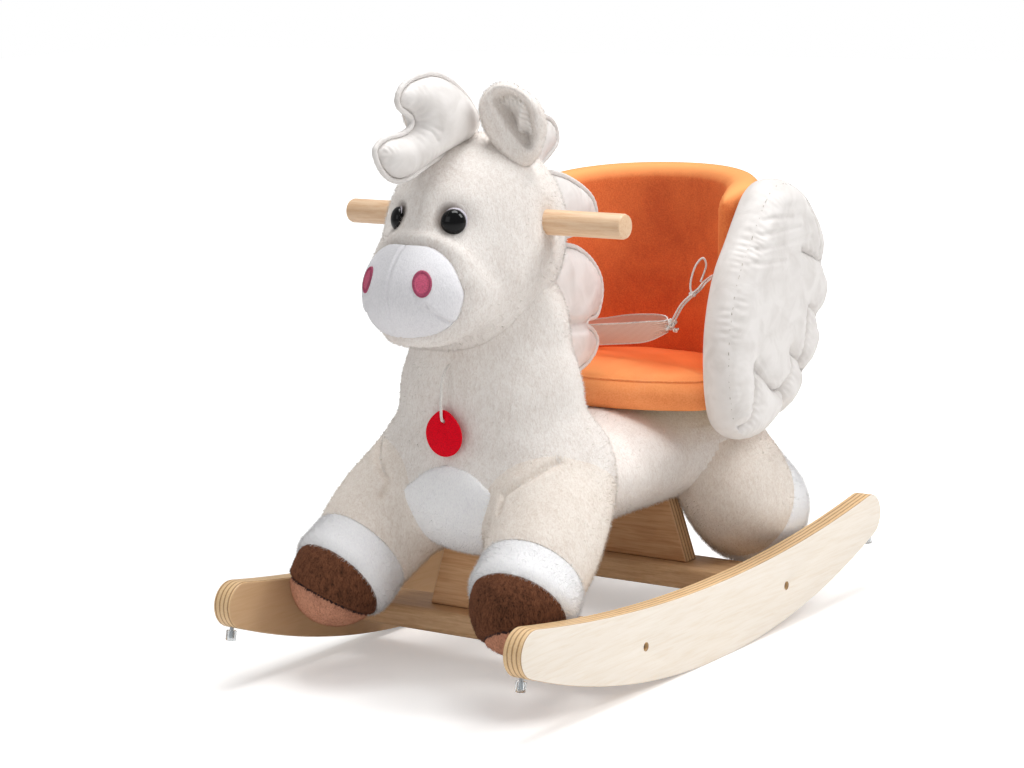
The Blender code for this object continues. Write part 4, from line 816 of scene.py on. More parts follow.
def leg(where, label, side):
    """Stuffed leg in three sewn lengths: plush leg, white cuff and brown hoof."""
    in_front = where == "front"
    lobes = [((side * x, y, z), (radius, radius * stretch, radius))
             for (x, y, z), radius, stretch in (FRONT_LEG if in_front else REAR_LEG)]
    if in_front:
        along = Vector((side * 0.12, -0.80, -0.55)).normalized()
        cuff_long, hoof_long, seed = 0.034, 0.044, 3
        sole_at = Vector((side * 0.093, -0.245, 0.0700 if side > 0 else 0.0830))
        sole_up = Vector((-side * 0.35, 0.45, 1)).normalized()
    else:
        along = Vector((side * -0.05, 0.92, -0.38)).normalized()
        cuff_long, hoof_long, seed = 0.046, 0.026, 16 + side
        sole_at = Vector((side * 0.088, 0.225, 0.0660))
        sole_up = Vector((0, -0.45, 1)).normalized()
    centre = lobes[2][0]
    hoof_seam = Vector(lobes[-1][0]) + along * lobes[-1][1][0] - along * hoof_long
    cuff_seam = hoof_seam - along * cuff_long
    if in_front:
        joined = [(lobes, 0.006, 0.0), (BODY, BODY_BLEND, 0.0014)]
        upper = stuffed(f"front_leg_plush_{label}", centre, joined, 0.008, 7, leg_crease, seed,
                        reach=0.12, steps=24)
    else:
        upper = stuffed(f"rear_leg_plush_{label}", centre, lobes, seed=seed)
    trim(upper, cuff_seam, along, 0.0004)
    mounted(upper, "base", LEG_CREAM, [f"{where}_leg_{label}"])
    cuff = stuffed(f"{where}_cuff_plush_{label}", centre, lobes, seed=seed)
    trim(cuff, hoof_seam, along, 0.0030)
    trim(cuff, cuff_seam, -along, 0.0004)
    mounted(cuff, "base", WHITE, [f"{where}_cuff_{label}"])
    inset = [(place, tuple(r - 0.003 for r in radii)) for place, radii in lobes]

    def sole_seam(points):
        above = (points - np.array(sole_at)) @ np.array(sole_up)
        return -0.0022 * fade(above, 0.0014) + 0.0008 * fade(above - 0.005, 0.003)

    hoof = stuffed(f"{where}_hoof_plush_{label}", centre, inset, detail=7, seed=seed,
                   shape=sole_seam, uneven=0.0006)
    trim(hoof, hoof_seam - along * 0.004, -along, 0.0)
    mounted(hoof, "base", BROWN, [f"{where}_hoof_{label}"])
    hoof.data.materials.append(SOLE)
    hoof.data.materials.append(SEAM_THREAD_AND_SHADE)
    # The band along the sole seam gets the dark brown: partly thread, partly painted shade in the
    # seam's crease.
    for face in hoof.data.polygons:
        above = (face.center - sole_at).dot(sole_up)
        face.material_index = 0 if above > 0.0006 else 2 if above > -0.0008 else 1
    return upper, cuff, hoof


# Flat stuffed pieces, sewn from two panels

def smooth_curve(points, count, closed=True):
    """Points on a Catmull-Rom curve through the given ones."""
    given = [Vector(p) for p in points]
    total = len(given)
    spans = total if closed else total - 1
    result = []
    for i in range(count):
        position = i * spans / (count if closed else count - 1)
        k = min(int(position), spans - 1)
        t = position - k
        if closed:
            p0, p1, p2, p3 = (given[(k + j) % total] for j in (-1, 0, 1, 2))
        else:
            p0, p1, p2, p3 = (given[min(max(k + j, 0), total - 1)] for j in (-1, 0, 1, 2))
        result.append(0.5 * ((2 * p1) + (p2 - p0) * t + (2 * p0 - 5 * p1 + 4 * p2 - p3) * t * t
                             + (3 * p1 - p0 - 3 * p2 + p3) * t ** 3))
    return result


def flat_curve(points, count, closed=True):
    """Smooth curve through 2D points."""
    return [(spot.x, spot.y) for spot in smooth_curve([(*p, 0) for p in points], count, closed)]


def both_halves(half):
    """Outline from its right-hand half, which starts and ends on the middle line."""
    return half + [(-x, y) for x, y in reversed(half[1:-1])]


def lengths_along(points):
    """Distance along a polyline to each of its points."""
    return np.concatenate([[0], np.cumsum(np.linalg.norm(np.diff(points, axis=0), axis=1))])


def at_lengths(points, along, at):
    """Places at given distances along a polyline of 2D points."""
    return np.column_stack([np.interp(at, along, points[:, i]) for i in (0, 1)])


def even_loop(points, spacing):
    """Closed loop of 2D points at an even spacing."""
    closed = np.vstack([points, points[:1]])
    along = lengths_along(closed)
    count = max(12, int(along[-1] / spacing))
    return at_lengths(closed, along, np.linspace(0, along[-1], count, endpoint=False))


def line_distance(points, line, closed=False):
    """Distance from points to a polyline."""
    line = np.asarray(line, float)
    ends = np.vstack([line, line[:1]]) if closed else line
    best = np.full(len(points), 1e9)
    for one, two in zip(ends, ends[1:]):
        span = two - one
        share = np.clip(((points - one) @ span) / max(span @ span, 1e-12), 0, 1)
        best = np.minimum(best, np.linalg.norm(points - one - share[:, None] * span, axis=1))
    return best


def inside(points, loop):
    """Which 2D points lie inside a closed loop."""
    result = np.zeros(len(points), bool)
    x, y = points[:, 0], points[:, 1]
    for (x1, y1), (x2, y2) in zip(loop, np.roll(loop, -1, axis=0)):
        crosses = (y1 > y) != (y2 > y)
        with np.errstate(divide="ignore", invalid="ignore"):
            at = (x2 - x1) * (y - y1) / (y2 - y1) + x1
        result ^= crosses & (x < at)
    return result


def rim_fit(points, loop):
    """How far points lie from a closed loop, and how far along it the nearest place is."""
    loop = np.asarray(loop, float)
    best = np.full(len(points), 1e9)
    along = np.zeros(len(points))
    start = 0.0
    for one, two in zip(loop, np.roll(loop, -1, axis=0)):
        span = two - one
        length = np.linalg.norm(span)
        share = np.clip(((points - one) @ span) / max(length ** 2, 1e-12), 0, 1)
        away = np.linalg.norm(points - one - share[:, None] * span, axis=1)
        nearer = away < best
        best = np.where(nearer, away, best)
        along = np.where(nearer, start + share * length, along)
        start += length
    return best, along


def puckers(along, away, pitch, reach, seed=0):
    """Short gathers across a seam, -1 to 1: strongest beside the stitches, gone after reach."""
    drift = 1.1 * np.sin(along / pitch * 0.83 + seed) \
        + 1.0 * np.sin(along / pitch * 0.37 + 2 * seed)
    wave = np.sin(2 * math.pi * along / pitch + 2.4 * drift)
    size = 0.55 + 0.45 * np.sin(along / pitch * 0.61 + 3 * seed)
    return wave * size * fade(away, reach) * (1 - fade(away, 0.0012))


STITCH_PITCH = 0.0066


def left_of(loop):
    """Unit normals on the left-hand side of a closed loop of 2D points."""
    tangent = unit(np.roll(loop, -1, axis=0) - np.roll(loop, 1, axis=0))
    return np.column_stack([-tangent[:, 1], tangent[:, 0]])


def inward_of(loop):
    """Unit normals that point into a closed loop of 2D points."""
    ahead = np.roll(loop, -1, axis=0)
    area = (loop[:, 0] * ahead[:, 1] - ahead[:, 0] * loop[:, 1]).sum()
    return left_of(loop) * (1 if area > 0 else -1)


def moved_in(loop, distance):
    """Closed loop moved inwards by a distance."""
    loop = np.asarray(loop, float)
    moved = loop + inward_of(loop) * distance
    return moved[line_distance(moved, loop, True) > abs(distance) * 0.9]


def smoothed(loop, rounds):
    """Closed loop with its small corners evened out."""
    loop = np.asarray(loop, float)
    for _ in range(rounds):
        loop = (np.roll(loop, 1, axis=0) + 2 * loop + np.roll(loop, -1, axis=0)) / 4
    return loop


def mesh_piece(name, verts, faces, degrees=180):
    """New object from points and faces, its normals outwards."""
    mesh = bpy.data.meshes.new(name)
    mesh.from_pydata(np.asarray(verts).tolist(), [], faces)
    piece = edited(placed(name, mesh), bpy.ops.mesh.normals_make_consistent, inside=False)
    return sand(piece, degrees)


def ring_faces(rings, around, closed=True):
    """Quads between rings of points that follow each other."""
    faces = []
    for i in range(rings if closed else rings - 1):
        k = (i + 1) % rings
        for j in range(around):
            n = (j + 1) % around
            faces.append((i * around + j, i * around + n, k * around + n, k * around + j))
    return faces


def tube(loop, thick, place, height, around, drift=0.0):
    """Points of a round tube along a flat loop, ring by ring."""
    side = left_of(loop)
    lines = []
    for j in range(around):
        angle = 2 * math.pi * j / around
        lines.append(place(loop + side * (thick * math.cos(angle) + drift)[:, None],
                           height + thick * math.sin(angle)))
    return np.stack(lines, axis=1).reshape(-1, 3)


def piping(name, loop, radius, place, height=0.0):
    """Corded edge: a closed tube along a flat loop, slightly nipped by its stitches."""
    spacing, pitch, around = 0.0011, 0.0055, 10
    loop = even_loop(smoothed(loop, 2), spacing)
    along = np.arange(len(loop)) * spacing
    thick = radius * (1 + 0.05 * np.sin(2 * math.pi * along / pitch + np.sin(along * 90)))
    return mesh_piece(name, tube(loop, thick, place, height, around), ring_faces(len(loop), around))


def stitches(name, loop, edge, place, where):
    """Hand-closed seam: a short thread over the seam at every pitch, uneven as hand work is."""
    spacing, pitch, radius, around = 0.0007, STITCH_PITCH, 0.00042, 6
    loop = even_loop(loop, spacing)
    along = np.arange(len(loop)) * spacing
    on_thread = pitch * (0.34 + 0.16 * np.sin(along * 173))
    shown = ((along + 0.0012 * np.sin(along * 310)) % pitch < on_thread) & where(loop)
    drift = 0.0004 * np.sin(along * 420 + 1.3 * np.sin(along * 97))
    faces = [face for face in ring_faces(len(loop), around, closed=False)
             if shown[face[0] // around] and shown[face[3] // around]]
    piece = mesh_piece(name, tube(loop, radius, place, edge(loop) - 0.0001, around, drift), faces)
    edited(piece, bpy.ops.mesh.delete_loose, use_verts=True, use_edges=True, use_faces=False)
    return mounted(piece, "base", SEAM)


def panel(outline, spacing):
    """Flat panel cut to an outline: its points, its triangles and how many lie on the rim."""
    rim = even_loop(outline, spacing)
    low, high = rim.min(axis=0), rim.max(axis=0)
    rows = np.arange(low[1], high[1], spacing * 0.9)
    grid = []
    for k, v in enumerate(rows):
        u = np.arange(low[0] + (k % 2) * spacing / 2, high[0], spacing)
        grid.append(np.column_stack([u, np.full(len(u), v)]))
    grid = np.vstack(grid)
    grid = grid[inside(grid, rim)]
    grid = grid[line_distance(grid, rim, True) > spacing * 0.6]
    points = np.vstack([rim, grid])
    edges = [(i, (i + 1) % len(rim)) for i in range(len(rim))]
    found = delaunay_2d_cdt([Vector(p) for p in points], edges, [], 1, 1e-7)
    return np.array(found[0]), [tuple(int(i) for i in f) for f in found[2]], len(rim)


def inflated(points, faces, rim, rounds=500):
    """How full a stuffed panel is, 0 along its rim and 1 at its fullest, as a soap film swells."""
    corners = np.array([(f[i], f[(i + 1) % len(f)]) for f in faces for i in range(len(f))])
    one = np.concatenate([corners[:, 0], corners[:, 1]])
    two = np.concatenate([corners[:, 1], corners[:, 0]])
    degree = np.maximum(np.bincount(one, minlength=len(points)), 1)
    full = np.zeros(len(points))
    for _ in range(rounds):
        full = np.bincount(one, full[two], minlength=len(points)) / degree + 1
        full[:rim] = 0
    return full / full.max()


def two_panels(name, outline, spacing, front, back, place, stuffing=False):
    """Two panels sewn along their rim; front and back give their heights, place puts them."""
    points, faces, rim = panel(outline, spacing)
    count = len(points)
    away, along = rim_fit(points, even_loop(outline, spacing))
    if stuffing:
        away = (away, inflated(points, faces, rim))
    rise = front(points, away, along)
    fall = back(points, away, along)
    rise[:rim] = (rise[:rim] + fall[:rim]) / 2
    spare = np.arange(count)
    spare[rim:] = np.arange(count, 2 * count - rim)
    verts = np.vstack([place(points, rise), place(points, fall)[rim:]])
    under = [tuple(int(spare[i]) for i in reversed(f)) for f in faces]
    return mesh_piece(name, verts, faces + under)


def boxed(name, outline, spacing, edge, top, low, bulge, place):
    """Box cushion: a top panel, a side band as high as edge says and a bottom panel."""
    rows = 14
    points, faces, rim = panel(outline, spacing)
    count = len(points)
    loop = points[:rim]
    away, along = rim_fit(points, loop)
    heights = top(points, away, along)
    at_edge = edge(loop)
    heights[:rim] = at_edge
    outward = smoothed(-inward_of(loop), 3)
    swell = bulge(loop)
    verts = [place(points, heights)]
    for k in range(1, rows + 1):
        share = k / rows
        gather = 0.0007 * puckers(along[:rim], at_edge * share, 0.0075, 0.009, 1.3)
        spot = loop + outward * (swell * math.sin(math.pi * share) ** 0.75 + gather)[:, None]
        verts.append(place(spot, at_edge + (low - at_edge) * share))
    verts.append(place(points, np.full(count, low))[rim:])
    last = count + (rows - 1) * rim
    start = list(range(rim))
    sides = []
    for k in range(rows):
        below = [count + k * rim + i for i in range(rim)]
        sides += [(start[i], below[i], below[(i + 1) % rim], start[(i + 1) % rim])
                  for i in range(rim)]
        start = below
    spare = range(last, last + count)
    under = [tuple(spare[i] for i in reversed(f)) for f in faces]
    return mesh_piece(name, np.vstack(verts), faces + sides + under)


def corded(node, outline, half, bead, pinch, seed, spacing=0.0017):
    """Satin pillow with a corded edge: the cord, its stitch groove and the stuffed middle."""
    name = f"{node}_satin"
    rim = even_loop(outline, 0.0012)
    border = piping(f"{name}_piping", moved_in(rim, bead), bead, middle_plane)
    mounted(border, "base", SATIN)
    stitch = smoothed(moved_in(rim, bead * 2 - 0.0003), 2)

    def front(points, fit, along):
        away, full = fit
        swell = full ** 0.62 * pinch(points)
        gather = 0.0009 * puckers(along, away - 0.0010, 0.0062, 0.0075, seed)
        return 0.0005 + (half - 0.0005) * swell + gather * (away > 0.001) \
            + 0.0006 * part(away, 0.012) * wrinkled(points, seed, (26, 10), 0.6)

    def back(points, fit, along):
        return -front(points, fit, along)

    piece = two_panels(name, stitch, spacing, front, back, middle_plane, stuffing=True)
    mounted(piece, "base", SATIN, [node])
    return piece


def middle_plane(points, height):
    """Panels that stand in the plane x = 0."""
    return np.column_stack([height, points[:, 0], points[:, 1]])


def wrinkled(points, seed, size=(14, 5), turn=0.0):
    """Drawn-out creases, -1 to 1."""
    cos, sin = math.cos(turn), math.sin(turn)
    u = (points[:, 0] * cos + points[:, 1] * sin) * 1000 / size[0]
    v = (-points[:, 0] * sin + points[:, 1] * cos) * 1000 / size[1]
    return np.array([noise.noise(Vector((a, b, seed * 3.7))) for a, b in zip(u, v)])


def joined_through(joins):
    """How full a pillow stays beside the lines where its two sides are sewn together."""
    def pinch(points):
        share = np.ones(len(points))
        for join in joins:
            share *= 1 - 0.60 * fade(line_distance(points, join), 0.0050)
        return share
    return pinch


FORELOCK = [(-0.135, 0.452), (-0.124, 0.459), (-0.116, 0.467), (-0.117, 0.478), (-0.129, 0.493),
            (-0.146, 0.506), (-0.163, 0.514), (-0.18, 0.518), (-0.197, 0.517), (-0.212, 0.514),
            (-0.224, 0.507), (-0.229, 0.497), (-0.225, 0.489), (-0.214, 0.483), (-0.209, 0.479),
            (-0.213, 0.475), (-0.224, 0.472), (-0.241, 0.471), (-0.253, 0.467), (-0.26, 0.46),
            (-0.257, 0.449), (-0.248, 0.438), (-0.235, 0.431), (-0.221, 0.43), (-0.207, 0.433),
            (-0.192, 0.438), (-0.179, 0.442), (-0.16, 0.447)]
FORELOCK_FOLDS = [[(-0.209, 0.479), (-0.199, 0.4755), (-0.189, 0.4700)],
                  [(-0.206, 0.4755), (-0.198, 0.4700), (-0.192, 0.4620)]]
MANE = [(-0.022, 0.47), (-0.009, 0.466), (0.000, 0.456), (0.001, 0.443), (-0.011, 0.433),
        (-0.027, 0.4245), (-0.0295, 0.4225), (-0.008, 0.42), (0.015, 0.413), (0.038, 0.402),
        (0.054, 0.39), (0.06, 0.377), (0.059, 0.367), (0.045, 0.359), (0.024, 0.358),
        (0.006, 0.3565), (0.006, 0.355), (0.028, 0.349), (0.049, 0.336), (0.063, 0.32),
        (0.067, 0.304), (0.062, 0.288), (0.055, 0.28), (0.041, 0.279), (0.04, 0.2775),
        (0.05, 0.272), (0.058, 0.261), (0.054, 0.25), (0.045, 0.243), (0.034, 0.238),
        (0.005, 0.232), (-0.06, 0.232), (-0.07, 0.3), (-0.075, 0.4), (-0.09, 0.44), (-0.06, 0.462),
        (-0.04, 0.47)]
MANE_JOINS = [[(-0.029, 0.4235), (-0.060, 0.400)], [(0.006, 0.3558), (-0.040, 0.345)],
              [(0.040, 0.2782), (-0.030, 0.285)]]
TAIL = [(0.19, 0.176), (0.205, 0.192), (0.222, 0.192), (0.24, 0.186), (0.258, 0.176), (0.267, 0.16),
        (0.266, 0.146), (0.257, 0.139), (0.257, 0.137), (0.27, 0.13), (0.279, 0.114),
        (0.276, 0.098), (0.266, 0.086), (0.252, 0.082), (0.24, 0.084), (0.234, 0.1), (0.226, 0.118),
        (0.206, 0.132), (0.19, 0.15)]
TAIL_JOINS = [[(0.257, 0.138), (0.225, 0.150)]]


def forelock():
    """Curl over the forehead, its two lobes drawn together at the notch."""
    def pinch(points):
        share = np.ones(len(points))
        for fold in FORELOCK_FOLDS:
            near = line_distance(points, fold)
            share -= 0.10 * fade(near, 0.0016) + 0.08 * fade(near, 0.008)
        return share

    return corded("forelock", flat_curve(FORELOCK, 300), 0.0195, 0.0024, pinch, 1, 0.0013)


def mane():
    """Four scalloped lobes down the neck, with a corded edge and quilted joins."""
    return corded("mane", flat_curve(MANE, 400), 0.0155, 0.0023, joined_through(MANE_JOINS), 2)


def tail():
    """Short tail of two lobes, sewn as the mane is."""
    return corded("tail", flat_curve(TAIL, 240), 0.0145, 0.0023, joined_through(TAIL_JOINS), 3)


EAR_CENTRE = (0.046, -0.130, 0.471)
EAR_TURN = 0.45
EAR_HOLLOW = [(-0.0038, 0.0285), (0.0044, 0.028), (0.0115, 0.023), (0.0155, 0.014), (0.016, 0.002),
              (0.0145, -0.0094), (0.009, -0.018), (0.003, -0.009), (-0.0045, 0.005), (-0.01, 0.019),
              (-0.009, 0.0255)]


def ear(label, side):
    """Plush ear, cupped towards the front, with a gathered satin lining deep in the cup."""
    outline = []
    for k in range(90):
        angle = 2 * math.pi * k / 90
        narrow = 1 - 0.20 * max(0, -math.sin(angle)) ** 1.5
        wide = 1 + 0.035 * math.sin(3 * angle + 0.6) + 0.02 * math.sin(5 * angle)
        outline.append((0.0270 * math.cos(angle) * narrow * wide, 0.0378 * math.sin(angle) * wide))
    across = np.array([math.cos(EAR_TURN), side * math.sin(EAR_TURN), 0])
    facing = Vector((side * math.sin(EAR_TURN), -math.cos(EAR_TURN), 0.02)).normalized()
    upward = Vector((-side * 0.02, -0.30, 1)).normalized()
    hollow = even_loop([(side * x, y) for x, y in flat_curve(EAR_HOLLOW, 120)], 0.0012)

    def place(points, height):
        return (np.array(EAR_CENTRE) * (side, 1, 1) + np.outer(points[:, 0], across)
                + np.outer(points[:, 1], upward) + np.outer(height, facing))

    def bowl(points):
        depth = line_distance(points, hollow, True)
        depth = np.where(inside(points, hollow), depth, -depth)
        return 0.0112 - 0.0200 * part(depth + 0.0050, 0.0100) ** 1.3

    def front(points, away, along):
        return bowl(points) * dome(away, 0.012) ** 0.5

    def back(points, away, along):
        return -0.0112 * dome(away, 0.016) ** 0.5

    piece = two_panels(f"ear_plush_{label}", outline, 0.0016, front, back, place)
    mounted(piece, "base", CREAM, [f"ear_{label}"])

    def gathers(points, away, along):
        """A deep hollow, the fold of spare satin beside it and pleats under the top edge."""
        u, v = side * points[:, 0], points[:, 1]
        floor = -0.0030 - 0.0070 * fade(u + 0.0015 + 0.10 * (v - 0.010), 0.0042) \
            * fade(v - 0.0085, 0.0110)
        floor += 0.0072 * fade(u - 0.0092 - 0.30 * (v - 0.012), 0.0040) * fade(v - 0.0080, 0.0120)
        floor -= 0.0050 * fade(u - 0.0085, 0.0030) * fade(v + 0.0095, 0.0055)
        floor += 0.0030 * fade(u - 0.0130, 0.0020) * fade(v + 0.0070, 0.0070)
        pleats = part(v - 0.0130, 0.0070) * part(0.0300 - v, 0.004)
        floor += 0.0015 * np.sin(u * 1650 + 1.5 * np.sin(v * 150)) * pleats
        floor += 0.0005 * np.sin(u * 900 + v * 1300)
        deep = part(away, 0.0030)
        return bowl(points) * (1 - deep) + floor * deep + 0.0006

    lining = two_panels(f"ear_lining_{label}", moved_in(hollow, -0.0004), 0.0007, gathers,
                        lambda p, a, s: bowl(p) - 0.0022, place)
    mounted(lining, "base", LINING)
    return piece


# Wings

WING = [(0.228, 0.327), (0.225, 0.344), (0.216, 0.36), (0.203, 0.374), (0.187, 0.386),
        (0.168, 0.395), (0.148, 0.401), (0.128, 0.402), (0.11, 0.393), (0.094, 0.375),
        (0.078, 0.354), (0.06, 0.331), (0.048, 0.304), (0.041, 0.276), (0.039, 0.248),
        (0.041, 0.22), (0.048, 0.197), (0.063, 0.183), (0.085, 0.178), (0.107, 0.179),
        (0.124, 0.184), (0.134, 0.188), (0.139, 0.1915), (0.149, 0.19), (0.166, 0.196),
        (0.179, 0.206), (0.187, 0.216), (0.188, 0.22), (0.199, 0.225), (0.211, 0.237),
        (0.217, 0.25), (0.216, 0.262), (0.213, 0.266), (0.223, 0.274), (0.231, 0.288),
        (0.232, 0.301), (0.228, 0.312), (0.2255, 0.3165), (0.228, 0.321)]
WING_IN = 0.1188
WING_THICK = 0.0365
CHANNELS = [[(0.2255, 0.3165), (0.2, 0.325), (0.165, 0.337)],
            [(0.186, 0.378), (0.199, 0.356), (0.207, 0.33)],
            [(0.213, 0.266), (0.198, 0.275), (0.1801, 0.2831), (0.1743, 0.2537),
             (0.169, 0.231)],
            [(0.188, 0.22), (0.172, 0.23), (0.1576, 0.241), (0.1468, 0.248)],
            [(0.1468, 0.248), (0.1467, 0.2306), (0.1321, 0.2166), (0.1138, 0.2176),
             (0.0969, 0.2294), (0.0815, 0.2439)],
            [(0.0815, 0.2439), (0.0776, 0.2191), (0.0704, 0.198), (0.06, 0.193)],
            [(0.139, 0.1915), (0.136, 0.203), (0.1321, 0.2166)]]
WING_FOLDS = [[(0.068, 0.3474), (0.1164, 0.3472), (0.1761, 0.3482)],
              [(0.0745, 0.3577), (0.1165, 0.3596), (0.1534, 0.3595)],
              [(0.06, 0.337), (0.09, 0.3345), (0.125, 0.3324)],
              [(0.082, 0.369), (0.11, 0.372), (0.138, 0.37)],
              [(0.05, 0.205), (0.07, 0.211), (0.088, 0.209)]]


def wing(label, side):
    """Padded wing beside the seat: gusset in front, feathers quilted into the rear edge."""
    seam = smoothed(moved_in(even_loop(flat_curve(WING, 400), 0.0016), 0.0036), 3)
    lines = [flat_curve(channel, 18, closed=False) for channel in CHANNELS]

    def rear(points):
        """0 at the gusset, 1 at the feathers' tips."""
        return part(points[:, 0] * 0.80 + (0.30 - points[:, 1]) * 0.25 - 0.085, 0.085)

    def edge(points):
        return WING_THICK * (0.74 - 0.24 * rear(points))

    def outer(points, away, along):
        back_share = rear(points)
        full = WING_THICK * (1 - 0.14 * back_share ** 1.6)
        roll = np.sin(part(away, 0.018 + 0.010 * back_share) * math.pi / 2) ** 0.66
        height = edge(points) + (full - edge(points)) * roll
        for number, line in enumerate(lines):
            near = line_distance(points, line)
            nip = 0.0005 * np.sin(points @ np.array([900.0, 760.0]) + number
                                  + lengths_along(line)[-1] * 40)
            height = height - 0.0056 * fade(near, 0.0019) - 0.0040 * fade(near, 0.0085) \
                + nip * fade(near - 0.004, 0.004)
        for fold in WING_FOLDS:
            near = line_distance(points, fold)
            height += part(away, 0.006) * (0.0007 * fade(near - 0.0035, 0.0030)
                                           - 0.0009 * fade(near, 0.0018))
        front = 1 - 0.55 * back_share
        gather = 0.0007 * puckers(along, away, STITCH_PITCH, 0.0085, 0.6) * front
        at_stitch = 0.5 + 0.5 * np.sin(along / STITCH_PITCH * 6.283)
        dimple = 0.0011 * fade(away, 0.0022) * at_stitch * front
        crease = wrinkled(points, 6, (26, 6), 0.15) * part(away, 0.01)
        drawn = wrinkled(points, 9, (34, 5), 0.05) * fade(away, 0.022) * front
        return height + gather - dimple * (away > 0.0003) + 0.0003 * crease \
            + 0.0005 * drawn * part(away, 0.004)

    def bulge(points):
        return 0.0046 + 0.0012 * rear(points)

    def place(points, height):
        return np.column_stack([side * (WING_IN + height), points[:, 0], points[:, 1]])

    piece = boxed(f"wing_satin_{label}", seam, 0.0016, edge, outer, 0.0006, bulge, place)
    mounted(piece, "base", SATIN, [f"wing_{label}"])
    stitches(f"wing_stitches_{label}", seam, edge, place,
             lambda p: (rear(p) < 0.30) & (p[:, 1] > 0.200))
    return piece


# Seat

SEAT_LOW = 0.2003
BACK_TOP = 0.406
BACK_HALF = 0.1185
BACK_REAR = 0.228
BACK_FRONT = 0.107
WALL_HALF = 0.0155
SEAT_HALF = 0.0872


def backrest():
    """Upholstered backrest: foam round a shell under velvet, with a full rounded top edge."""
    half, rear, arch, nose, around = BACK_HALF - WALL_HALF, BACK_REAR - WALL_HALF, 0.0145, 0.036, 48
    centre = rear - half * 0.88
    path = [(half, BACK_FRONT + (centre - BACK_FRONT) * k / 10) for k in range(10)]
    path += [(half * math.cos(math.pi * k / 90),
              centre + (rear - centre) * math.sin(math.pi * k / 90)) for k in range(91)]
    path += [(-half, centre - (centre - BACK_FRONT) * k / 10) for k in range(1, 11)]
    path = np.array(path)
    along = lengths_along(path)
    total = along[-1]
    ends = [nose * (1 - math.cos(math.pi / 2 * k / 14)) for k in range(1, 15)]
    at = np.array([0.0001] + ends + list(np.linspace(nose * 1.1, total - nose * 1.1, 110))
                  + [total - e for e in reversed(ends)] + [total - 0.0001])
    ahead = unit(at_lengths(path, along, np.minimum(at + 0.003, total))
                 - at_lengths(path, along, np.maximum(at - 0.003, 0)))
    outward = np.column_stack([ahead[:, 1], -ahead[:, 0]])
    verts = []
    for spot, out, place in zip(at_lengths(path, along, at), outward, at):
        nearest = min(place, total - place)
        round_end = math.sqrt(max(1 - (1 - min(nearest / nose, 1)) ** 2, 0.0006))
        arm = min(max((BACK_REAR - spot[1]) / 0.126, 0), 1)
        top = BACK_TOP - 0.014 * arm ** 1.5 - 0.012 * (1 - round_end)
        tall = top - arch - SEAT_LOW
        for j in range(around):
            share = j / around
            if share < 0.28:
                u, z = 1.0, SEAT_LOW + tall * share / 0.28
            elif share < 0.64:
                angle = math.pi * (share - 0.28) / 0.36
                u, z = math.cos(angle), top - arch + arch * math.sin(angle)
            elif share < 0.92:
                u, z = -1.0, top - arch - tall * (share - 0.64) / 0.28
            else:
                u, z = -1.0 + 2 * (share - 0.92) / 0.08, SEAT_LOW
            height = min(max((z - SEAT_LOW) / (top - SEAT_LOW), 0), 1)
            belly = 0.0014 * math.sin(math.pi * height) * (u < -0.9)
            fold = 0.0004 * math.sin(place * 240 + math.sin(z * 60)) * fade(top - z, 0.010)
            nip = fade(nearest - 0.012, 0.012) * fade(top - z - 0.006, 0.014)
            width = WALL_HALF * round_end + belly + fold \
                - 0.0010 * nip * (1 + math.sin(z * 900 + place * 600))
            verts.append((spot[0] + out[0] * u * width, spot[1] + out[1] * u * width, z))
    count = len(at)
    faces = ring_faces(count, around, closed=False)
    faces.append(tuple(range(around)))
    faces.append(tuple(reversed(range((count - 1) * around, count * around))))
    piece = mesh_piece("backrest_velvet", verts, faces, 70)
    mounted(piece, "base", VELVET, ["backrest_pad"])
    return piece


def seat_plan():
    """Outline of the seat cushion, seen from above."""
    half, inner, front, back, corner, arm = 0.1000, SEAT_HALF, 0.046, 0.194, 0.078, 0.098
    key = [(0, front), (half * 0.5, front + (corner - front) * 0.22),
           (half * 0.9, front + (corner - front) * 0.72), (half, corner + 0.006),
           (inner, arm + 0.010), (inner, arm + 0.030), (inner * 0.86, back - (back - arm) * 0.26),
           (inner * 0.50, back - (back - arm) * 0.06), (0, back)]
    return flat_curve(both_halves(key), 220)


def cushion():
    """Seat cushion: velvet top and bottom panels on a side band, with a welt at the top seam."""
    seam_height = 0.2268
    outline = smoothed(moved_in(even_loop(seat_plan(), 0.002), 0.0026), 2)

    def edge(points):
        return np.full(len(points), seam_height)

    def top(points, away, along):
        crown = 0.0072 * dome(away, 0.050)
        roll = 0.0032 * dome(away, 0.006) ** 0.5
        gather = 0.0006 * puckers(along, away, 0.0110, 0.010, 2.1)
        dents = 0.0006 * wrinkled(points, 14, (34, 34))
        return seam_height + crown + roll + gather + dents * part(away, 0.01)

    def flat(points, height):
        return np.column_stack([points, height])

    piece = boxed("cushion_velvet", outline, 0.0026, edge, top, SEAT_LOW,
                  lambda p: np.full(len(p), 0.0062), flat)
    mounted(piece, "base", SEAT_VELVET, ["seat_cushion"])
    welt = piping("cushion_welt", moved_in(outline, -0.0006), 0.0011, flat, seam_height + 0.0002)
    mounted(welt, "base", SEAT_VELVET)
    return piece


# Face

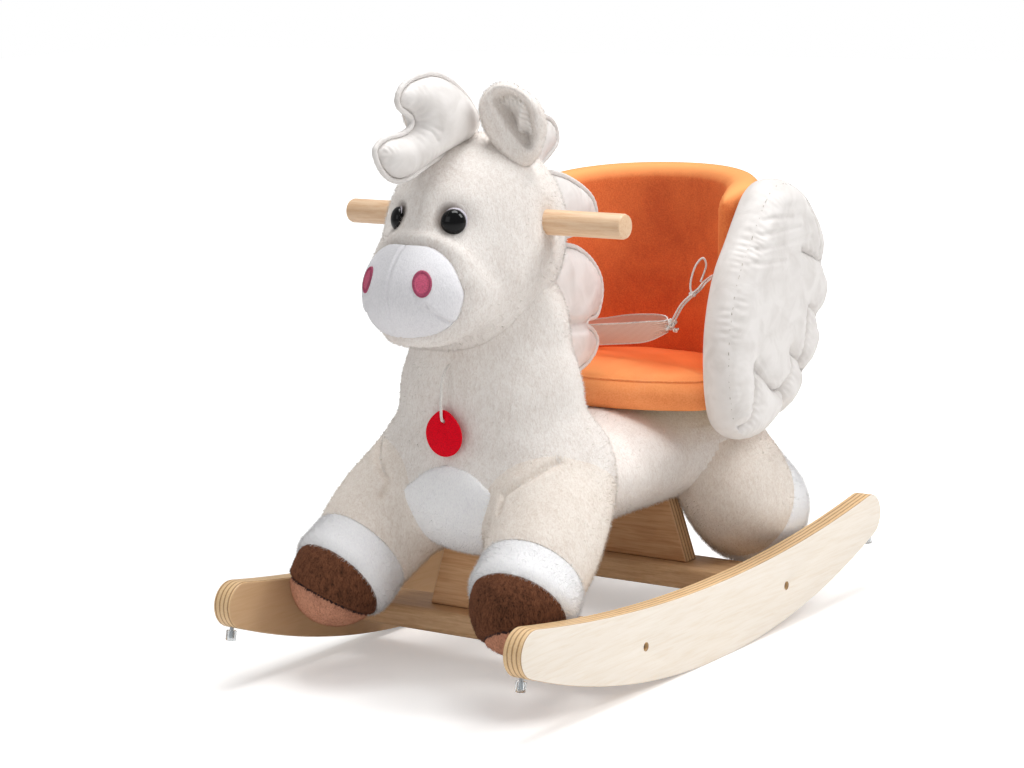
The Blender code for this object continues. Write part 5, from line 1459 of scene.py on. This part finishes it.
def muzzle():
    """White panel over the nose, seamed down its middle and tucked at each side of the mouth."""
    tucks = [[(side * 0.0300, 0.3350), (side * 0.0370, 0.3250), (side * 0.0420, 0.3165)]
             for side in (1, -1)]

    def rise(points, away, along):
        off_middle = np.abs(points[:, 0])
        height = 0.0030 * dome(away, 0.0075) ** 0.5 - 0.0010
        height -= 0.0011 * fade(points[:, 0], 0.0011)
        height += 0.0004 * fade(off_middle - 0.0030, 0.0018)
        for tuck in tucks:
            near = line_distance(points, tuck)
            height -= 0.0016 * fade(near, 0.0012)
            below = points[:, 1] < 0.3255 + (off_middle - 0.0370) * -0.9
            height += 0.0010 * fade(near, 0.0050) * np.where(below, -0.6, 1.0)
        return height + 0.0003 * puckers(along, away, 0.0060, 0.004, 3.3)

    piece = patch_on("muzzle_plush", HEAD, HEAD_BLEND, muzzle_outline(), 0.0013, rise, -0.10)
    mounted(piece, "base", VELOUR, ["muzzle_cap"])
    return piece


def patch_on(name, lobes, blend, outline, spacing, rise, start_y):
    """Panel sewn onto a form, seen from the front: (x, z) outline thrown back onto the skin."""
    def place(points, height):
        starts = np.column_stack([points[:, 0], np.full(len(points), start_y), points[:, 1]])
        skin = onto_skin(starts, np.tile((0.0, -1.0, 0.0), (len(points), 1)), lobes, blend)
        return skin + skin_normal(skin, lobes, blend) * height[:, None]

    return two_panels(name, outline, spacing, rise, lambda p, a, s: np.full(len(p), -0.0012), place)


def chest_patch():
    """White plush shield on the chest, between the front legs."""
    half = [(0.0, 0.1885), (0.0120, 0.1865), (0.0238, 0.1820), (0.0375, 0.1725), (0.0500, 0.1635),
            (0.0540, 0.1500), (0.0510, 0.1350), (0.0430, 0.1210), (0.0300, 0.1110), (0.0, 0.1050)]
    outline = [(x + 0.0040, y) for x, y in flat_curve(both_halves(half), 120)]

    def rise(points, away, along):
        places = np.column_stack([points[:, 0], np.full(len(points), -0.17), points[:, 1]])
        lie = 0.0020 * dome(away, 0.012) ** 0.5
        return 0.0003 + lie + 0.0006 * lumps(places, 30, 5)

    piece = patch_on("chest_plush", BODY, BODY_BLEND, outline, 0.0022, rise, -0.09)
    mounted(piece, "base", WHITE, ["chest_patch"])
    return piece


def nostril(label, side):
    """Satin-stitched nostril: threads laid outwards over a raised rim."""
    wide, high = 0.0080, 0.0110
    spot = np.array([[side * 0.027, -0.19, 0.351]])
    skin = onto_skin(spot, np.array([[0.0, -1.0, 0.0]]), HEAD, HEAD_BLEND)
    normal = skin_normal(skin, HEAD, HEAD_BLEND)[0]
    across = np.cross((0, 0, 1), normal)
    across /= np.linalg.norm(across)
    up = np.cross(normal, across)
    outline = [(wide * math.cos(a), high * math.sin(a))
               for a in np.linspace(0, 2 * math.pi, 80, endpoint=False)]

    def rise(points, away, along):
        angle = np.arctan2(points[:, 1] / high, points[:, 0] / wide)
        threads = 0.00028 * np.sin(angle * 40) * part(away, 0.0008) * (away < 0.0034)
        inner_threads = 0.00012 * np.sin(points[:, 1] * 7000) * (away >= 0.0034)
        return 0.0024 + 0.0008 * fade(away - 0.0016, 0.0013) + threads + inner_threads

    def place(points, height):
        starts = skin[0] - normal * 0.02 + np.outer(points[:, 0], across) \
            + np.outer(points[:, 1], up)
        hit = onto_skin(starts, np.tile(normal, (len(points), 1)), HEAD, HEAD_BLEND)
        return hit + skin_normal(hit, HEAD, HEAD_BLEND) * height[:, None]

    piece = two_panels(f"nostril_stitching_{label}", outline, 0.00045, rise,
                       lambda p, a, s: np.full(len(p), 0.0004), place)
    mounted(piece, "base", PINK, [f"nostril_{label}"])
    piece.data.materials.append(RIM_PINK)
    for face in piece.data.polygons:
        local = np.array(face.center) - skin[0]
        face.material_index = int(math.hypot(local @ across / wide, local @ up / high) > 0.74)
    return piece


def eye(label, side):
    """Domed acrylic eye on a felt lid that shows above its outer corner."""
    spot = eye_spot(side)
    splay, sunk, lid_shift = (0.56, 0.0020, 0.0012) if side > 0 else (0.90, 0.0046, 0.0004)
    facing = Vector((side * math.sin(splay), -math.cos(splay), 0.10)).normalized()
    turn = facing.to_track_quat("Z", "Y")

    def flattened(name, radius, segments, rings, over, under, centre, sunk):
        piece = primitive(name, bpy.ops.mesh.primitive_uv_sphere_add, segments=segments,
                          ring_count=rings, radius=radius)
        for vertex in piece.data.vertices:
            x, y, z = vertex.co
            z *= over if z > 0 else under
            vertex.co = centre + turn @ Vector((x, y, z)) - facing * sunk
        piece.data.update()
        bpy.ops.object.shade_smooth()
        return piece

    piece = flattened(f"eye_dome_{label}", 0.0105, 48, 32, 0.70, 0.36, spot, sunk)
    mounted(piece, "base", EYE, [f"eye_{label}"])
    outer = Vector((math.cos(splay) * side, math.sin(splay), 1))
    lid = flattened(f"eye_lid_{label}", 0.0103, 40, 16, 0.22, 0.22, spot + outer * lid_shift,
                    sunk + 0.0008)
    mounted(lid, "base", FELT)
    return piece


# Belt and tag

def ribbon(name, route, width, thickness):
    """Closed band on edge along a route, cupped across its width and drawn in at its tie."""
    count, rows = 160, 16
    path = smooth_curve(route, count)
    verts = []
    for i, spot in enumerate(path):
        ahead = (path[(i + 1) % count] - path[i - 1]).normalized()
        across = ahead.cross(Vector((0, 0, 1))).normalized()
        drawn = min(max((spot.x - 0.018) / 0.034, 0), 1) ** 2
        for way in (1, -1):
            for j in range(rows + 1)[::way]:
                v = (j / rows - 0.5) * width
                cup = 0.0006 * math.cos(math.pi * (j / rows - 0.5)) + 0.0003 * math.sin(i * 0.21) \
                    + 0.0007 * drawn * math.sin(v * 2200)
                v = v * (1 - 0.42 * drawn) + 0.0022 * drawn
                verts.append(spot + Vector((0, 0, v)) + across * (cup + way * thickness / 2))
    return mesh_piece(name, verts, ring_faces(count, 2 * (rows + 1)), 50)


def cord(name, route, diameter, count=60):
    """Round cord as a curve of one open spline."""
    path = smooth_curve(route, count, closed=False)
    curve = bpy.data.curves.new(name, "CURVE")
    curve.dimensions = "3D"
    curve.bevel_depth = diameter / 2
    curve.bevel_resolution = 5
    curve.use_fill_caps = True
    line = curve.splines.new("POLY")
    line.points.add(len(path) - 1)
    for point, spot in zip(line.points, path):
        point.co = (*spot, 1)
    return placed(name, curve)


def knot(name, place, radius, seed):
    """Overhand knot pulled tight: a short cord wound on itself."""
    turn = Matrix.Rotation(0.6 + seed, 3, (1, 0.4, 0.2))
    route = []
    for k in range(40):
        t = 2 * math.pi * k / 40 * 0.97
        route.append(Vector(place) + turn @ Vector((math.sin(t) + 2 * math.sin(2 * t),
                                                    math.cos(t) - 2 * math.cos(2 * t),
                                                    -math.sin(3 * t))) * radius * 0.36)
    take(cord(name, route, radius * 0.8, 90))
    bpy.ops.object.convert(target="MESH")
    bpy.ops.object.shade_smooth()
    return mounted(bpy.context.object, "belt", COTTON)


TIE_THICK = 0.0018
FAR = -(BACK_HALF - 2 * WALL_HALF - 0.0003 - 0.00065 - 0.0003)
BELT_ROUTE = [(FAR, 0.116, 0.25), (FAR, 0.11, 0.25), (FAR + 0.0006, 0.105, 0.25),
              (FAR + 0.006, 0.1005, 0.25), (FAR + 0.018, 0.099, 0.252), (-0.04, 0.102, 0.255),
              (0.01, 0.099, 0.261), (0.044, 0.091, 0.267), (0.05, 0.096, 0.269),
              (0.032, 0.112, 0.268), (-0.01, 0.127, 0.263), (-0.046, 0.134, 0.256),
              (-0.07, 0.132, 0.252), (FAR + 0.005, 0.127, 0.25), (FAR + 0.0006, 0.121, 0.25)]
NEAR = SEAT_HALF - 0.0017
TIE_ROUTE = [(0.0530, 0.094, 0.268), (0.0600, 0.092, 0.279), (0.0690, 0.093, 0.293),
             (NEAR - 0.003, 0.098, 0.306), (NEAR - 0.001, 0.106, 0.312),
             (NEAR + 0.0005, 0.120, 0.316), (NEAR + 0.0013, 0.134, 0.318)]
BOW_ROUTE = [(NEAR - 0.008, 0.094, 0.300), (NEAR - 0.011, 0.096, 0.310),
             (NEAR - 0.009, 0.101, 0.325), (NEAR - 0.004, 0.106, 0.333),
             (NEAR - 0.001, 0.107, 0.326), (NEAR - 0.004, 0.102, 0.312)]
KNOTS = [((0.0525, 0.0935, 0.2700), 0.0030), ((0.0570, 0.0925, 0.2745), 0.0032),
         ((0.0600, 0.0935, 0.2680), 0.0022), ((0.0765, 0.0955, 0.3010), 0.0028)]


def tied(name, route, nodes=()):
    """Thin cotton cord of the belt."""
    piece = cord(name, route, TIE_THICK, 30)
    piece.data.materials.append(COTTON)
    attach(piece, "belt")
    if nodes:
        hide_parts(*nodes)
    path = [p.co.xyz for p in piece.data.splines[0].points]
    length = sum((b - a).length for a, b in zip(path, path[1:]))
    tuple(path[0])
    return piece


def belt():
    """Elastic loop across the seat, tied to the near arm with a knotted cord and its bow."""
    band = ribbon("belt_elastic_loop", BELT_ROUTE, 0.020, 0.0013)
    mounted(band, "belt", ELASTIC, ["belt_band"])
    band.data.materials.append(COTTON)
    for number, face in enumerate(band.data.polygons):
        face.material_index = int(number % 34 in (0, 15, 16, 17, 32, 33))
    for k, offset in enumerate((-0.0011, 0.0011)):
        shift = Vector((offset * 0.6, offset, -offset * 0.4))
        tied(f"belt_tie_strand_{k + 1}", [Vector(p) + shift for p in TIE_ROUTE],
             ["belt_tie"] if k == 0 else ())
    tied("belt_bow", BOW_ROUTE)
    for k, (place, size) in enumerate(KNOTS):
        knot(f"belt_knot_{k + 1}", place, size, k)
    return band


TAG_RADIUS = 0.0184
TAG_PEAK = 0.003
TAG_HOLE_Z = 0.226
TAG_Z = TAG_HOLE_Z + 0.0095 - TAG_PEAK - 0.0185
TAG_CORD_THICK = 0.0024
TAG_CORD_ROUTE = [(0, -0.16665, 0.272), (0, -0.17015, 0.27), (0, -0.1765, 0.262),
                  (0, -0.1798, 0.244), (0, -0.18, 0.2355), (0, -0.1798, 0.2306),
                  (0, -0.1788, 0.2266), (0, -0.1763, 0.2266)]


def tag():
    """Bare round tag, drawn up to a point round the hole for its cord."""
    low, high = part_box("tag_disc")
    back, front = high[1], low[1]
    piece = settle(primitive("red_tag", bpy.ops.mesh.primitive_cylinder_add, vertices=96,
                             radius=TAG_RADIUS, depth=abs(back - front),
                             location=(0, (back + front) / 2, TAG_Z), rotation=(math.pi / 2, 0, 0)))
    for vertex in piece.data.vertices:
        angle = math.atan2(vertex.co.z - TAG_Z, vertex.co.x)
        vertex.co.z += TAG_PEAK * max(0, math.sin(angle)) ** 8
    bore(piece, dowel("punch", (0, front - 0.01, TAG_HOLE_Z), (0, back + 0.01, TAG_HOLE_Z),
                      0.0021, 32))
    round_edges(piece, 0.0004, 2)
    sand(piece)
    return mounted(piece, "tag", RED, ["tag_disc"])


def tag_cord(disc):
    """White cotton cord from the seam under the chin, down the chest and through the tag."""
    piece = cord("tag_cotton_cord", TAG_CORD_ROUTE, TAG_CORD_THICK, 36)
    piece.data.materials.append(COTTON)
    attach(piece, "tag_line")
    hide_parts("tag_cord")
    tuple(TAG_CORD_ROUTE[0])
    return piece


# The pieces, and the kept solids with their real materials

for side, label in SIDES:
    rocker(label, side)
    for end, where in ((-1, "front"), (1, "rear")):
        stop(where, label, side, end)
rail("front", -RAIL_Y)
rail("rear", RAIL_Y)
handle()
KEPT = {"front_upright": UPRIGHT_PLY, "rear_upright": UPRIGHT_PLY, "core_board": INNER_PLY,
        "neck_post": INNER_PLY, "seat_board": INNER_PLY, "back_shell": INNER_PLY}
KEPT.update({name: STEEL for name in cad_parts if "bolt" in name or "screw" in name})
for name, finish in KEPT.items():
    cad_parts[name].data.materials.clear()
    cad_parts[name].data.materials.append(finish)
backrest()
cushion()
trunk, neck, head = animal_body()
nose = muzzle()
legs = [leg(where, label, side) for where in ("front", "rear") for side, label in SIDES]
forelock()
mane()
tail()
ears = [ear(label, side) for side, label in SIDES]
for side, label in SIDES:
    wing(label, side)
    nostril(label, side)
    eye(label, side)
patch = chest_patch()
in_neck, in_trunk, in_head = (NECK, 0.006), (TRUNK, 0.006), (HEAD, HEAD_BLEND)
pile("head_pile", head, 60000, 0.0040, BLADE, (0, 0.30, -0.45), 1, [in_neck])
pile("neck_pile", neck, 42000, 0.0042, BLADE, (0, 0.10, -0.60), 2,
     [in_trunk, in_head])
pile("trunk_pile", trunk, 60000, 0.0042, BLADE, (0, 0.45, -0.30), 3, [in_neck])
pile("nose_pile", nose, 14000, 0.0012, 0.00022, (0, 0, -0.45), 4)
pile("chest_pile", patch, 14000, 0.0032, BLADE, (0, 0, -0.50), 5)
for number, (upper, cuff, hoof) in enumerate(legs):
    outwards = -0.55 if number < 2 else 0.55
    pile(upper.name + "_pile", upper, 24000, 0.0042, BLADE, (0, -0.25, -0.55),
         10 + number, [in_trunk, in_neck])
    pile(cuff.name + "_pile", cuff, 26000, 0.0052, BLADE, (0, outwards, -0.35),
         20 + number)
    pile(hoof.name + "_pile", hoof, 14000, 0.0022, 0.00026, (0, -0.15, -0.55),
         30 + number)
for number, item in enumerate(ears):
    pile(item.name + "_pile", item, 12000, 0.0036, BLADE, (0, 0, 0.50), 40 + number)
belt()
tag_cord(tag())


# Studio

def studio():
    """White paper floor that keeps the shadow, an even room and three soft lamps."""
    floor = primitive("studio_floor", bpy.ops.mesh.primitive_plane_add, size=14)
    white, tree, skin, place = shader("white_studio_paper")
    skin.inputs["Base Color"].default_value = rgba("F2F1F0")
    skin.inputs["Roughness"].default_value = 0.7
    away = put(tree, "ShaderNodeVectorMath", {0: place}, operation="LENGTH").outputs["Value"]
    glow = put(tree, "ShaderNodeEmission", {"Color": "FFFFFF",
                                            "Strength": between(tree, away, 0.40, 1.0, 0.33)})
    seen = put(tree, "ShaderNodeLightPath").outputs["Is Camera Ray"]
    both = put(tree, "ShaderNodeAddShader", {0: skin.outputs[0], 1: glow.outputs[0]})
    chosen = put(tree, "ShaderNodeMixShader", {0: seen, 1: skin.outputs[0], 2: both.outputs[0]})
    tree.links.new(chosen.outputs[0], tree.nodes["Material Output"].inputs["Surface"])
    floor.data.materials.append(white)

    world = bpy.data.worlds.new("studio")
    bpy.context.scene.world = world
    world.use_nodes = True
    tree = world.node_tree
    path = put(tree, "ShaderNodeLightPath").outputs
    clear = compute(tree, "MAXIMUM", path["Is Camera Ray"], path["Is Transmission Ray"])
    room = tree.nodes["Background"].inputs
    room[0].default_value = (1, 1, 1, 1)
    tree.links.new(between(tree, clear, 0.0, 1.0, 0.36), room[1])
    for name, place, size, power in (("key_softbox", (1.9, 0.6, 2.1), 1.2, 33),
                                     ("top_softbox", (0.1, 0.1, 2.5), 1.3, 38),
                                     ("fill_softbox", (-0.4, -2.4, 1.3), 1.4, 5)):
        lamp = bpy.data.lights.new(name, "AREA")
        lamp.shape = "SQUARE"
        lamp.size = size
        lamp.energy = power
        lit = placed(name, lamp)
        lit.location = place
        aim = Vector((0, 0, 0.2)) - Vector(place)
        lit.rotation_euler = aim.to_track_quat("-Z", "Y").to_euler()
    bpy.context.scene.view_settings.view_transform = "Standard"


def camera():
    """Camera at the photograph's place: azimuth, height angle and roll in degrees."""
    a, e, r = (math.radians(v) for v in (35.59, 10.25, 1.44))
    back = Vector((math.sin(a) * math.cos(e), -math.cos(a) * math.cos(e), math.sin(e)))
    right = Vector((math.cos(a), math.sin(a), 0))
    down = (-back).cross(right)
    rolled_right = right * math.cos(r) + down * math.sin(r)
    rolled_down = -right * math.sin(r) + down * math.cos(r)
    lens = bpy.data.cameras.new("photo_camera")
    focal_px, sensor_mm, photo_px = 2777.95, 36, 1024
    lens.lens = focal_px * sensor_mm / photo_px
    lens.clip_end = 60
    seen = placed("photo_camera", lens)
    turn = Matrix((rolled_right, -rolled_down, back)).transposed()
    seen.matrix_world = Matrix.Translation((1.37292, -1.99576, 0.66798)) @ turn.to_4x4()
    bpy.context.scene.camera = seen


studio()
camera()
